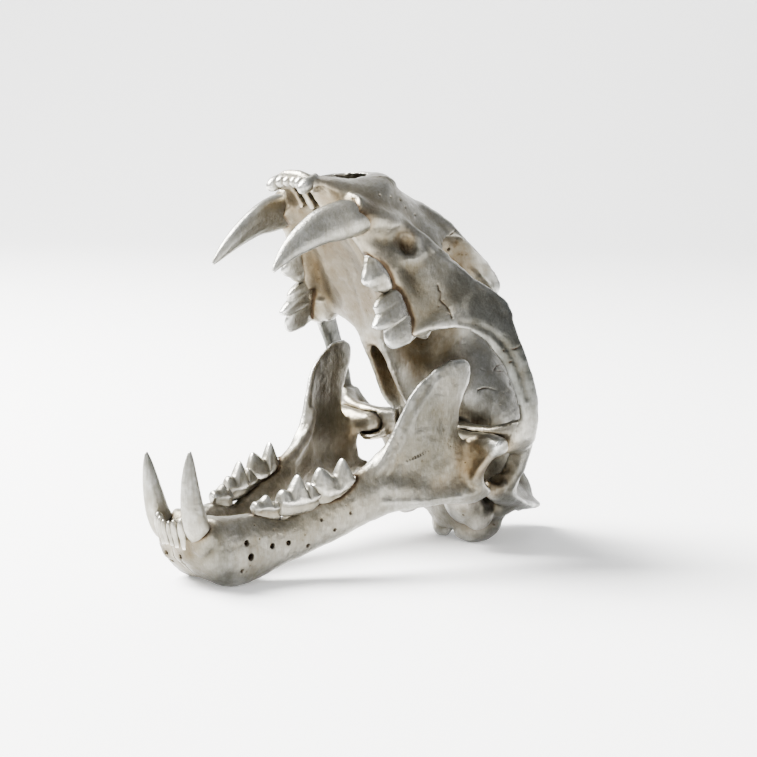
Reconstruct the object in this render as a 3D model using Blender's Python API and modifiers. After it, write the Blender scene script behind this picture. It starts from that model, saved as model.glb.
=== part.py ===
"""Cast metal leopard skull, life size, jaws wide open, standing on its chin and the back of its
braincase. Sizes are in millimetres in two head frames and become metres in the meshes: x to the
animal's left, b back from the front teeth, u up from the tooth row."""
import math

import bmesh
import bpy
import numpy as np

for old in list(bpy.data.objects):
    bpy.data.objects.remove(old, do_unlink=True)

# driving dimensions, mm and degrees
CRANIUM_PITCH = 63.154
CRANIUM_AT = (59.46, 190.81)
MANDIBLE_PITCH = -4.646
MANDIBLE_AT = (-0.57, 34.8)
ORIGIN_Y = 107.52
ORIGIN_Z = 2.68
SEAM = 0.3
VOXEL = 0.9
FILLET = 30
CRANIUM_TRIS = 6600
MANDIBLE_TRIS = 1300
FACE_END = 109.0
ARCH_START = 96.0
ARCH_END = 141.0
ARCH_INNER = 40.0

PITCH = {"cranium": math.radians(CRANIUM_PITCH), "mandible": math.radians(MANDIBLE_PITCH)}
PLACE = {"cranium": CRANIUM_AT, "mandible": MANDIBLE_AT}

parts = bpy.data.collections.new("leopard_skull")
cutters = bpy.data.collections.new("cutters")
bpy.context.scene.collection.children.link(parts)
bpy.context.scene.collection.children.link(cutters)


def material(name, colour, roughness):
    made = bpy.data.materials.new(name)
    made.use_nodes = True
    shader = made.node_tree.nodes["Principled BSDF"]
    shader.inputs["Base Color"].default_value = (*colour, 1.0)
    shader.inputs["Metallic"].default_value = 1.0
    shader.inputs["Roughness"].default_value = roughness
    return made


def world(points, frame):
    """Head frame in mm to the row frame in metres."""
    angle = PITCH[frame]
    y0, z0 = PLACE[frame]
    c, s = math.cos(angle), math.sin(angle)
    x, b, u = points[:, 0], points[:, 1], points[:, 2]
    y = y0 + b * c + u * s - ORIGIN_Y
    z = z0 - b * s + u * c - ORIGIN_Z
    return np.stack([x, y, z], axis=1) * 0.001


def curve(rows, count):
    """Catmull-Rom through the rows, spaced by the distance between their first three numbers."""
    rows = np.array(rows, dtype=float)
    gaps = np.linalg.norm(np.diff(rows[:, :3], axis=0), axis=1)
    at = np.concatenate([[0.0], np.cumsum(gaps)])
    slope = np.gradient(rows, at, axis=0)
    t = np.linspace(0.0, at[-1], count)
    k = np.clip(np.searchsorted(at, t, side="right") - 1, 0, len(at) - 2)
    h = (at[k + 1] - at[k])[:, None]
    s = ((t - at[k])[:, None]) / h
    p = rows[k] * (2 * s**3 - 3 * s**2 + 1) + rows[k + 1] * (3 * s**2 - 2 * s**3)
    return p + slope[k] * h * (s**3 - 2 * s**2 + s) + slope[k + 1] * h * (s**3 - s**2)


def skin(rings, name, frame):
    """Closed mesh through equal rings of points, capped flat at both ends."""
    count, sides = len(rings), len(rings[0])
    points = world(np.concatenate(rings), frame)
    faces = []
    for i in range(count - 1):
        for j in range(sides):
            k = (j + 1) % sides
            faces.append((i * sides + j, i * sides + k, (i + 1) * sides + k, (i + 1) * sides + j))
    faces.append(tuple(range(sides))[::-1])
    faces.append(tuple(range((count - 1) * sides, count * sides)))
    mesh = bpy.data.meshes.new(name)
    mesh.from_pydata(points.tolist(), [], faces)
    made = bmesh.new()
    made.from_mesh(mesh)
    bmesh.ops.recalc_face_normals(made, faces=made.faces)
    made.to_mesh(mesh)
    made.free()
    piece = bpy.data.objects.new(name, mesh)
    cutters.objects.link(piece)
    return piece


def ring(centre, side, rise, wide, up, down, power, sides):
    """One section, a superellipse with its own height above and below the middle."""
    t = np.linspace(0.0, 2 * np.pi, sides, endpoint=False)
    c = np.sign(np.cos(t)) * np.abs(np.cos(t)) ** (2.0 / power)
    s = np.sign(np.sin(t)) * np.abs(np.sin(t)) ** (2.0 / power)
    height = np.where(s > 0, up, down)
    return centre + np.outer(c * wide, side) + np.outer(s * height, rise)


def body(rows, name, frame, along="b", power=2.3, sides=24, count=24, bend=None):
    """Stack of sections square to one axis. Rows: x, b, u, half width, up, down."""
    side = np.array([1.0, 0.0, 0.0])
    rise = np.array([0.0, 0.0, 1.0]) if along == "b" else np.array([0.0, 1.0, 0.0])
    line = curve(rows, count)
    line[:, 3:] = np.maximum(line[:, 3:], 0.4)
    rings = [ring(r[:3], side, rise, r[3], r[4], r[5], power, sides) for r in line]
    if bend is not None:
        back, shift = np.array(bend, dtype=float).T
        for points in rings:
            points[:, 0] += np.interp(points[:, 1], back, shift)
    return skin(rings, name, frame)


def tube(rows, name, frame, rise=(0.0, 0.0, 1.0), power=2.0, sides=16, count=20):
    """Sweep along a path. Rows: x, b, u, half width, half height."""
    line = curve(rows, count)
    line[:, 3:] = np.maximum(line[:, 3:], 0.25)
    path = np.gradient(line[:, :3], axis=0)
    path /= np.linalg.norm(path, axis=1)[:, None]
    rings = []
    for r, ahead in zip(line, path):
        up = np.array(rise) - ahead * np.dot(rise, ahead)
        up /= np.linalg.norm(up)
        side = np.cross(ahead, up)
        rings.append(ring(r[:3], side, up, r[3], r[4], r[4], power, sides))
    return skin(rings, name, frame)


def strip(rows, name, frame, power=2.5, sides=16, count=60):
    """Sweep between two edges. Rows: lower edge x, b, u, upper edge x, b, u, half thickness."""
    line = curve(rows, count)
    middle = (line[:, 3:6] + line[:, 0:3]) / 2
    half = (line[:, 3:6] - line[:, 0:3]) / 2
    side = np.cross(np.gradient(middle, axis=0), half)
    side /= np.linalg.norm(side, axis=1)[:, None]
    rings = []
    for r, centre, across, reach in zip(line, middle, side, half):
        rings.append(ring(centre, across, reach, r[6], 1.0, 1.0, power, sides))
    return skin(rings, name, frame)


def egg(centre, radii, name, frame, turn=0.0, sides=20, count=12):
    """Ellipsoid, turned about its own upright axis."""
    rings = []
    c, s = math.cos(math.radians(turn)), math.sin(math.radians(turn))
    side, fore = np.array([c, s, 0.0]), np.array([-s, c, 0.0])
    for t in np.linspace(-0.97, 0.97, count):
        k = math.sin(t * math.pi / 2)
        wide = math.sqrt(1 - k * k)
        middle = np.array(centre, dtype=float) + fore * radii[1] * k
        rings.append(ring(middle, side, np.array([0.0, 0.0, 1.0]), radii[0] * wide,
                          radii[2] * wide, radii[2] * wide, 2.0, sides))
    return skin(rings, name, frame)


def apply(piece):
    """Replaces the mesh by the one that its modifiers make."""
    view = bpy.context.evaluated_depsgraph_get()
    mesh = bpy.data.meshes.new_from_object(piece.evaluated_get(view))
    piece.modifiers.clear()
    piece.data = mesh


def boolean(piece, tools, kind, solver="MANIFOLD"):
    """Joins or cuts one piece with a set of closed tools, which are then removed."""
    bag = bpy.data.collections.new("tools")
    bpy.context.scene.collection.children.link(bag)
    for tool in tools:
        bag.objects.link(tool)
    step = piece.modifiers.new("step", "BOOLEAN")
    step.operation = kind
    step.solver = solver
    step.operand_type = "COLLECTION"
    step.collection = bag
    bpy.context.view_layer.update()
    apply(piece)
    for tool in tools:
        bpy.data.objects.remove(tool, do_unlink=True)
    bpy.data.collections.remove(bag)
    largest(piece)
    return piece


def largest(piece):
    """Keeps only the closed surface with the most faces."""
    made = bmesh.new()
    made.from_mesh(piece.data)
    left = set(made.faces)
    best = []
    while left:
        seed = left.pop()
        group, front = [seed], [seed]
        while front:
            face = front.pop()
            for edge in face.edges:
                for other in edge.link_faces:
                    if other in left:
                        left.remove(other)
                        group.append(other)
                        front.append(other)
        if len(group) > len(best):
            best = group
    keep = set(best)
    drop = [face for face in made.faces if face not in keep]
    bmesh.ops.delete(made, geom=drop, context="FACES")
    loose = [vert for vert in made.verts if not vert.link_faces]
    bmesh.ops.delete(made, geom=loose, context="VERTS")
    bmesh.ops.triangulate(made, faces=made.faces)
    made.to_mesh(piece.data)
    made.free()


def fillet(piece, rounds):
    """Fills the inner corners of a fine mesh: points move outward towards their neighbours'
    middle, never inward."""
    mesh = piece.data
    count = len(mesh.vertices)
    points = np.empty(count * 3)
    mesh.vertices.foreach_get("co", points)
    points = points.reshape(-1, 3)
    ends = np.empty(len(mesh.edges) * 2, dtype=np.int32)
    mesh.edges.foreach_get("vertices", ends)
    here = np.concatenate([ends[0::2], ends[1::2]])
    there = np.concatenate([ends[1::2], ends[0::2]])
    degree = np.maximum(np.bincount(here, minlength=count), 1)
    for step in range(rounds):
        if step % 8 == 0:
            mesh.vertices.foreach_set("co", points.ravel())
            mesh.update()
            outward = np.empty(count * 3)
            mesh.vertex_normals.foreach_get("vector", outward)
            outward = outward.reshape(-1, 3)
        middle = np.stack([np.bincount(here, points[there, k], count) for k in range(3)], axis=1)
        gap = ((middle / degree[:, None] - points) * outward).sum(axis=1)
        points += outward * (0.5 * np.maximum(gap, 0.0))[:, None]
    mesh.vertices.foreach_set("co", points.ravel())
    mesh.update()


def cast(piece, tris, rounds=4, fill=0):
    """Melts the joined pieces into one skin and thins it to a number of triangles."""
    skinned = piece.modifiers.new("skin", "REMESH")
    skinned.mode = "VOXEL"
    skinned.voxel_size = VOXEL * 0.001
    apply(piece)
    fillet(piece, fill)
    soft = piece.modifiers.new("soft", "SMOOTH")
    soft.factor = 0.5
    soft.iterations = rounds
    apply(piece)
    largest(piece)
    thin = piece.modifiers.new("thin", "DECIMATE")
    thin.ratio = min(1.0, tris / len(piece.data.polygons))
    apply(piece)
    largest(piece)
    return piece


def mirrored(piece):
    """Copy on the other side of the middle plane."""
    mesh = piece.data.copy()
    count = len(mesh.vertices)
    points = np.empty(count * 3)
    mesh.vertices.foreach_get("co", points)
    points[0::3] *= -1.0
    mesh.vertices.foreach_set("co", points)
    mesh.flip_normals()
    other = bpy.data.objects.new(piece.name + "_far", mesh)
    cutters.objects.link(other)
    return other


def both(pieces):
    return pieces + [mirrored(piece) for piece in pieces]


def block(lo, hi, name):
    """Box between two corners of the row frame, in metres."""
    bpy.ops.mesh.primitive_cube_add(size=1.0)
    piece = bpy.context.object
    piece.name = name
    size = [h - l for l, h in zip(lo, hi)]
    middle = [(h + l) / 2 for l, h in zip(lo, hi)]
    for vert in piece.data.vertices:
        vert.co = [m + v * s for m, v, s in zip(middle, vert.co, size)]
    for owner in list(piece.users_collection):
        owner.objects.unlink(piece)
    cutters.objects.link(piece)
    return piece


def copy_of(piece, name):
    other = bpy.data.objects.new(name, piece.data.copy())
    cutters.objects.link(other)
    return other


def slab(lo, hi, name):
    """Box between two corners of the cranium frame."""
    rings = []
    for b in (lo[1], hi[1]):
        corners = [(lo[0], b, lo[2]), (hi[0], b, lo[2]), (hi[0], b, hi[2]), (lo[0], b, hi[2])]
        rings.append(np.array(corners, dtype=float))
    return skin(rings, name, "cranium")


def grown(piece, by):
    """Copy with its skin pushed outward, in mm."""
    other = copy_of(piece, piece.name + "_room")
    made = bmesh.new()
    made.from_mesh(other.data)
    made.normal_update()
    for vert in made.verts:
        vert.co += vert.normal * by * 0.001
    made.to_mesh(other.data)
    made.free()
    return other


# cusp profile: share of the height, share of the base size
CUSP = [(0.0, 1.0), (0.3, 0.9), (0.6, 0.66), (0.85, 0.34), (1.0, 0.1)]


def cusp(base, tip, wide, long, name, frame, sides=8):
    """Pointed tooth lobe from its sunk base to its tip."""
    base, tip = np.array(base, dtype=float), np.array(tip, dtype=float)
    rows = []
    for share, size in CUSP:
        point = base + (tip - base) * share
        rows.append((*point, wide * size, long * size))
    return tube(rows, name, frame, rise=(0.0, 1.0, 0.0), sides=sides, count=6)


# cranium sections: x, b, u, half width, up, down
MUZZLE = [
    (0, 6, 2.6, 10, 2, 2.2), (0, 9, 4, 15, 4, 3), (0, 14, 7.5, 19, 11, 4.5),
    (0, 18.5, 12, 22, 13.5, 8), (0, 21.5, 14, 24.5, 19, 9.5), (0, 26, 17, 27.5, 26.5, 12),
    (0, 35, 19, 29, 28.5, 12.5), (0, 43, 21, 28.5, 32.5, 13), (0, 52, 22, 28.5, 37, 13),
    (0, 61, 24, 31, 40.5, 15), (0, 68, 25, 33, 43, 15),
]
PALATE = [
    (0, 48, 15, 26, 12, 6), (0, 62, 15, 29, 10, 5), (0, 74, 16, 33, 9, 5), (0, 83, 17, 34, 8, 6),
    (0, 87.5, 17.5, 31, 7, 7), (0, 91, 18, 22.4, 7, 8), (0, 95, 18, 12.6, 7, 8.8), (0, 100, 18, 9.6, 7, 9.2),
    (0, 108, 18, 9, 7, 9.4),
]
FRONTAL = [
    (0, 56, 44, 17, 16, 26), (0, 70, 47, 20.5, 20, 32), (0, 82, 50, 21.5, 22.5, 35),
    (0, 95, 52, 21.5, 23, 36), (0, 107, 51, 21, 23, 33), (0, 118, 48, 20, 24, 29),
    (0, 130, 46, 23.5, 25, 26), (0, 142, 44, 28, 26, 22),
]
BRIM = [
    (0, 48, 51, 18, 7, 8), (0, 60, 59, 21.5, 6.5, 8), (0, 74, 63.5, 25.5, 6.5, 6),
    (0, 85, 67, 29.5, 6, 5), (0, 94, 69.5, 32.5, 5, 3.8), (0, 100, 70.5, 33, 4, 3.4),
    (0, 106, 69, 27, 5, 5), (0, 116, 65, 20, 7, 8), (0, 130, 62, 12, 10, 8),
]
BRAINCASE = [
    (0, 112, 44, 18, 22, 20), (0, 125, 44, 22, 24, 20), (0, 138, 43, 29, 26.5, 21),
    (0, 150, 43, 33.5, 27, 22), (0, 163, 43, 35.5, 26, 23), (0, 176, 43, 34, 24, 24),
    (0, 188, 42, 29.5, 21, 25), (0, 199, 39, 25, 18.5, 23), (0, 207, 37, 20, 16, 21),
]
CREST = [
    (0, 112, 64, 3, 6.5, 6), (0, 125, 64, 2.4, 7.5, 6), (0, 140, 64.5, 2.0, 7.5, 6),
    (0, 160, 65, 1.8, 7.2, 8), (0, 180, 64.5, 1.8, 6.2, 9), (0, 200, 62.5, 1.8, 5.4, 12),
    (0, 214, 61.5, 1.8, 6.5, 14), (0, 224, 61.5, 1.8, 7.5, 10), (0, 230, 61.5, 1.6, 5.5, 6),
]
BASE = [
    (0, 112, 27, 9, 14, 8), (0, 130, 26, 12, 14, 8), (0, 148, 25, 17, 14, 9),
    (0, 165, 22, 19, 14, 8), (0, 182, 19, 22, 14, 9), (0, 197, 17, 18, 12, 8),
    (0, 209, 17, 13, 10, 7),
]
# occiput sections stacked upward: x, b, u, half width, back, fore
OCCIPUT = [
    (0, 200, 14, 21, 7, 8), (0, 201, 24, 32, 10, 10), (0, 206, 35, 27.5, 9, 10),
    (0, 212, 45, 19, 8, 10), (0, 218, 55, 11, 8, 10), (0, 224, 62, 5, 6, 8),
    (0, 227, 67, 2, 3, 4),
]
# paths: x, b, u, half width, half height
CHEEK = [
    (24.5, 40, 18, 5, 12), (27, 50, 20, 5, 14.5), (29.5, 58, 21.5, 5, 16.8), (32, 66, 22.5, 5, 18.3),
    (36.4, 72.1, 23.5, 4.5, 19.3),
]
# cheekbone and arch: lower edge x, b, u, upper edge x, b, u, half thickness
ZYGOMA = [
    (27.4, 66, 4.8, 36.6, 66, 40.3, 4.6), (31.6, 72, 4.8, 41.2, 72, 42.2, 4.4),
    (36, 80, 4.8, 44.6, 77.8, 43.4, 4), (40.5, 88, 3.2, 47.6, 82, 44.6, 3.3),
    (44, 87.8, 6, 50.8, 84.8, 45.8, 3.1), (47.2, 87.8, 9.6, 53.4, 87.2, 46.2, 3),
    (50.2, 88.6, 13.1, 56.2, 89.6, 46.8, 3), (53, 89.9, 16.6, 58.8, 91.8, 46.7, 3),
    (55.8, 91.6, 19.8, 61.4, 94, 45.9, 3), (57.8, 93.2, 21.9, 63.4, 96.6, 44.5, 3),
    (60, 96.4, 23.8, 65.4, 99.8, 42.8, 3.1), (62.4, 101.2, 26, 67.4, 104.2, 41.2, 3.2),
    (64.8, 108.4, 27.3, 69, 111, 40.1, 3.2), (66.6, 117.1, 28.6, 69.9, 119.4, 39.4, 3.2),
    (67.4, 125.4, 28.1, 70.3, 128.9, 38.6, 3.1), (67.7, 131.9, 28, 70.3, 136, 37.4, 3.1),
    (67.6, 138, 27.2, 70, 142, 36.2, 3.1), (67.2, 143.6, 26.2, 69.4, 147.4, 34.4, 3.1),
    (66, 150.4, 25, 67.8, 153, 32.4, 2.8), (63.4, 156.4, 24.2, 64.4, 157.8, 31, 3),
    (56.4, 160.4, 23.2, 56.6, 160.6, 30.6, 3.6), (46, 161.4, 21.6, 46, 161.4, 31.2, 4.6),
    (30, 164, 18.5, 30, 164, 34.5, 5.5),
]
# shelf from the root of the arch to the mastoid
SHELF = [
    (65.5, 149, 31, 3.4, 4), (62, 155, 30, 4.6, 3.4), (57, 162, 30.2, 5.2, 2.6), (51.5, 169, 30.4, 5.4, 2.4),
    (46, 176, 29.4, 5.2, 2.6), (41.5, 183, 24, 4.6, 4),
]
ALVEOLI = [
    (25, 36, 10, 5, 6.5), (27, 46, 11, 4.8, 6.5), (29.8, 57, 14, 4.8, 6.5),
    (32.5, 69, 16, 5, 7), (35.6, 79, 15, 5, 8), (37.6, 84.7, 12.5, 4.8, 7.7),
    (38.6, 88.4, 10.4, 4.4, 6.8), (38.8, 91.2, 7.6, 2.8, 5.6),
]
# swelling of the upper jaw behind the last tooth
TUBER = [
    (31, 80, 16, 7, 8), (32, 87, 15, 6, 6.5), (32.6, 91, 14.5, 4, 5), (33, 93.4, 14.5, 2, 3),
]
CANINE_WALL = [
    (24.6, 24, 6, 8, 9.5), (23.6, 33, 14, 8.8, 11.5), (21.5, 42, 24, 8.6, 12), (18.5, 52, 33, 7, 10),
]
PREMAXILLA = [
    (-13.5, 12.5, 3.2, 3.6, 3.2), (-8, 8.6, 2.8, 3.5, 3), (0, 7.2, 2.6, 3.5, 2.8), (8, 8.6, 2.8, 3.5, 3),
    (13.5, 12.5, 3.2, 3.6, 3.2),
]
NUCHAL = [
    (-1, 229, 64, 2, 5), (10, 224.5, 57.5, 2, 5), (19, 216.5, 47.5, 2, 5), (28, 207, 36.5, 2.2, 5.5),
    (35.5, 197, 27, 2.6, 6), (40, 188, 20, 4, 6), (40.5, 182, 17, 4.5, 5),
]
GLENOID = [
    (22, 158, 23, 9, 6), (32, 156, 19.4, 8, 5), (42, 154.6, 18.8, 7.5, 4.3), (52, 154, 19.8, 7.3, 4.2),
    (60, 152.5, 22.8, 7, 4.4), (65, 149, 28, 4.6, 4.4),
]
POSTGLENOID = [
    (25, 158.5, 17, 2.4, 5), (31, 158.8, 13.5, 1.8, 7), (40, 159.8, 15, 1.7, 6.5), (52, 159.8, 17.5, 1.8, 5.5),
    (60, 157, 21, 2, 4),
]
PTERYGOID = [
    (6.4, 92, 19, 2.6, 9, 11), (6.5, 104, 19, 2.5, 9, 11), (6.8, 120, 19, 2.4, 10, 10.8),
    (7.4, 131, 18.5, 2.2, 10, 10), (8, 137, 15.5, 1.8, 5, 5.5), (8.4, 141.5, 14, 1.4, 2, 2),
]
CONDYLE_OCCIPITAL = [
    (5, 209, 13.5, 5.5, 5), (9.5, 212.9, 17.5, 7, 6.5), (14.5, 212.6, 23.5, 7.2, 6.8),
    (17, 208.4, 30, 5, 5),
]


# openings of the cranium: x, b, u, half width, up, down
NASAL = [
    (0, -4, 18, 9, 14, 8), (0, 6, 20, 10.5, 14, 9), (0, 14, 22, 12.5, 14, 10.5),
    (0, 24, 24.5, 14, 13, 12), (0, 35, 27, 13.5, 13, 13), (0, 48, 30, 10.5, 12, 11),
    (0, 56, 31, 6, 8, 8),
]
# eye socket from its deep end outward: x, b, u, half length, half height
ORBIT = [
    (15.5, 86, 55, 3, 3), (18.5, 85.5, 54.5, 13, 8), (22, 85, 54, 17, 11), (28, 84.8, 54.6, 19.5, 13),
    (35, 86.5, 57.5, 20.5, 15), (44, 91, 62.5, 21.5, 17.4), (56, 97, 70, 22.5, 22.2), (70, 104, 79, 24, 30),
]
INFRAORBITAL = [
    (40, 50, 21.5, 4, 5), (36, 51.8, 23.4, 4.2, 5.4), (33.2, 53.2, 25, 3.8, 5), (31.4, 54.2, 26, 2.6, 3.4),
    (30.4, 54.8, 26.6, 1.2, 1.6),
]
CHOANA = [
    (0, 102, 17, 3.4, 4, 5), (0, 106.5, 13, 4.3, 8, 12), (0, 112, 10, 4.9, 12, 14),
    (0, 121, 8, 5.1, 13, 14), (0, 134, 6, 5.5, 11, 14), (0, 146, 4, 5.6, 8, 14),
]
VAULT_OF_PALATE = [
    (0, 26, 3.5, 13, 5, 7), (0, 40, 3.5, 17, 6.5, 7), (0, 56, 3.5, 21, 8, 7),
    (0, 72, 3.5, 24, 8.5, 7), (0, 86, 3.5, 26, 7.9, 7), (0, 97, 3.5, 26, 5.8, 7), (0, 107, 3.5, 26, 4.4, 7),
]
MAGNUM = [(0, 190, 24, 8, 7), (0, 205, 22, 9.5, 8), (0, 225, 21, 11, 9.5)]

# mandible sections: x, b, u, half width, up, down
JAW = [
    (4.5, -4, -9.5, 5, 3.5, 4), (6, -1, -11, 7.5, 6, 7), (7.5, 2, -13, 9.5, 9, 8.6),
    (8.8, 5.5, -15, 11, 13, 11.2), (10, 10, -16.5, 11.3, 16.3, 14.3), (11.5, 16, -17.5, 10.5, 16.2, 16.2),
    (13, 22, -18, 9.2, 16, 16.1), (14.8, 30, -17.5, 8, 15.3, 15.3), (18, 44, -17.5, 6.6, 11, 11),
    (21.5, 57, -14, 6.6, 11.5, 10.8), (25, 70, -9.5, 6.8, 11.5, 11.3), (28.8, 82, -5.5, 6.2, 10.5, 11),
    (32.6, 95, -3.5, 5.4, 9, 9.6), (37.6, 110, -5.5, 4.6, 7.5, 6.5), (41.4, 125, -7.5, 4.2, 6, 5),
    (44, 138, -10, 3.8, 4.5, 4.4), (45.5, 149, -10.5, 2.2, 2.2, 1.8),
]
SYMPHYSIS = [
    (4, -3, -13, 7, 5, 6), (4, 5, -16, 8, 8, 11), (4, 15, -20, 8, 10, 13), (4, 25, -24, 8, 8, 9.5),
    (4, 34, -27, 7, 4, 5),
]
# ramus sections stacked upward: x, b, u, half thickness, half length back, half length fore
RAMUS = [
    (0, 118, -12, 2.6, 26, 22), (0, 116, -4, 2.8, 27, 30), (0, 115, 4, 2.8, 26.5, 27),
    (0, 116, 12, 2.6, 23.5, 21.5), (0, 116.5, 20, 2.4, 17.5, 17), (0, 118.5, 28, 2.2, 16, 15.3),
    (0, 121, 36, 2.1, 15.3, 14.8), (0, 125, 43, 2.0, 15, 14.5), (0, 129, 49, 1.9, 12.6, 12.5),
    (0, 132, 53.3, 1.7, 9, 8.5), (0, 133.5, 55.6, 1.2, 4.5, 4.5),
]
RAMUS_BEND = [
    (80, 28.5), (90, 30.8), (98, 32.3), (104, 35), (110, 38), (116, 40), (127, 42.5), (140, 43.8),
    (150, 45),
]
# front ridge of the ramus: x, b, u, half width, half height
RIDGE = [
    (29.5, 83, 1, 3.4, 4), (31.8, 92.5, 9, 3, 2.8), (33.5, 101.5, 21, 2.6, 2.4), (36, 107, 33, 2.3, 2),
    (39, 113, 44, 1.9, 1.7), (42, 123.5, 52, 1.6, 1.5),
]
CANINE_SOCKET = (15.3, 4, -9)
# the far lower canine stands back and deeper in its socket, its tip forward: x, b, u, tip
FAR_LEAN = (-1.0, 3.0, -4.4, -5.0)

# neck of the jaw joint stacked upward: x, b, u, half width, half length back, half length fore
NECK = [
    (46.3, 145.5, -9, 2.2, 3, 4), (46.8, 140.5, -4, 3.4, 3, 4.5), (47.5, 138.8, 1, 5.2, 3.2, 4.4),
    (48.6, 139.4, 7, 8.6, 3.4, 3.8), (49.8, 140.6, 12, 13, 3.2, 3.4), (50.5, 141.2, 16.5, 13.5, 2.8, 3),
]
# flat top of the jaw behind the last tooth
RETROMOLAR = [
    (27.6, 78, 2.5, 3.8, 4.5), (28, 84, 4.6, 3.8, 4.4), (28.6, 90, 8.4, 3.6, 3.6), (29.6, 96.5, 13, 3.2, 3.2),
    (31, 102.5, 19, 2.6, 2.8), (33, 106.5, 27, 2, 2.2),
]
CONDYLE = [
    (27.5, 144.4, 13, 2.8, 2.8), (30, 144, 13.4, 4.4, 4.4), (40, 142.5, 14, 5, 5), (50, 141.6, 14.8, 5, 5),
    (61, 141.2, 15.3, 4.9, 4.9), (65.5, 141.4, 15.6, 3.4, 3.4),
]

# teeth: base and tip as x, b, u, then half width and half length at the base
# the long way across the upper canine, turned outward at the back
UPPER_CANINE_TURN = (0.42, 0.91, 0)
UPPER_CANINE = [
    (25.5, 41, 23, 5, 6.4), (25, 33, 12, 5.6, 8.3), (24.8, 27.6, 3, 5.6, 9), (24.4, 26, -2.5, 5.4, 8.9),
    (24, 25.2, -9, 5, 8.1), (23.3, 25.1, -16.5, 4.4, 6.9), (22.6, 25.6, -24, 3.8, 5.5),
    (22.3, 27, -32, 2.9, 3.7), (22.6, 28.9, -38.5, 1.7, 1.9), (22.9, 30.2, -42, 0.7, 0.7),
]
LOWER_CANINE = [
    (14, 7, -18, 4.5, 6), (15.4, 2, -7, 5.6, 6.4), (15.7, -1.2, 3, 5, 5.6), (15.7, -2.1, 13, 4.2, 4.7),
    (15.8, -2.1, 22, 3.1, 3.4), (16.1, -1.7, 29, 1.7, 1.9), (16.3, -1.4, 32.6, 0.7, 0.7),
]
UPPER_INCISORS = [(2.4, 9.0, 2.0, 4.4), (6.6, 9.2, 2.3, 5.0), (11.2, 9.8, 2.8, 7.6)]
LOWER_INCISORS = [(2.0, -4.4, 1.5, 5.5), (5.2, -3.9, 1.8, 6.5), (8.6, -2.4, 2.1, 7.5)]
# blades of the cheek teeth along the row: x, b, tip, half width; each over its own gum line
UPPER_BLADES = [
    (7.5, [(28, 47.9, 5.5, 1.6), (28.2, 49.4, 3, 2.6), (28.8, 52, 0.6, 3.4), (29.6, 54.6, -2.4, 3.9),
           (30.2, 56.8, -4, 4.1), (30.4, 59.6, -2.6, 4.1), (30.6, 62, -0.2, 3.8), (30.8, 64.4, 1, 3.5),
           (31, 66, 2.6, 2.8), (31, 67, 5.4, 1.8)]),
    (8, [(31.4, 66.8, 4, 2), (32, 68, -2.4, 3.2), (32.4, 69.8, -4.9, 3.9), (33.1, 72.1, -4.9, 4.2),
         (34, 74, -8, 4.4), (34.8, 76.2, -11, 4.4), (35.5, 78.4, -9, 4.2), (36.2, 80, -6.4, 4),
         (37, 82, -8, 3.8), (37.8, 85.4, -9.2, 3.6), (38.4, 88.3, -8.4, 3.2), (38.9, 89.8, -5.4, 2.6),
         (39.2, 90.5, -1, 1.8)]),
]
PROTOCONE = (29, 72, 14, 27.2, 71.2, 2.5, 3.8, 3.8)
LOWER_BLADES = [
    (-3, [(16, 30.9, 0.5, 1.8), (16.2, 32, 3, 2.8), (16.4, 34.8, 3, 3.2), (16.8, 38.6, 5.3, 3.3),
          (17.4, 40.5, 1.4, 3.2), (18, 42.4, 1.8, 2.9), (18.4, 44, -1.2, 2)]),
    (-3, [(20.2, 42.2, 2, 2), (20.6, 43, 5.6, 3), (20.9, 44.8, 7.2, 3.5), (21.5, 47.2, 6, 3.9),
          (21.9, 49.8, 9.2, 4.1), (22.3, 52.7, 12.8, 4.1), (22.9, 54.6, 8.2, 4.1), (23.4, 55.8, 5.4, 4),
          (23.8, 57.6, 8.5, 3.9), (24, 59.8, 6.2, 3.7), (24.2, 61.6, 4.6, 3.2), (24.4, 62.8, 1.5, 2)]),
    (1, [(24.6, 58.8, 6, 1.6), (25, 60.6, 11.4, 3), (25.5, 63, 14.5, 3.7), (26, 66.4, 12.4, 4.1),
         (26.4, 68.9, 9.8, 4.1), (26.8, 70, 9.4, 4.1), (27.1, 72, 12.8, 4.1), (27.6, 75.1, 17, 3.9),
         (28.2, 77, 13.4, 3.4), (28.8, 79, 7.6, 2.4), (29, 79.8, 4, 1.4)]),
]


def blade(gum, rows, name, frame, root):
    """Cheek tooth as a row of V-shaped sections; root is its sunk depth, up or down."""
    stations = []
    for x, b, tip, wide in rows:
        tall = max(abs(tip - gum), 0.5)
        if root > 0:
            stations.append((x, b, gum, wide, root, tall))
        else:
            stations.append((x, b, gum, wide, tall, -root))
    return body(stations, name, frame, power=1.85, sides=10, count=len(rows) + 3)


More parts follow.
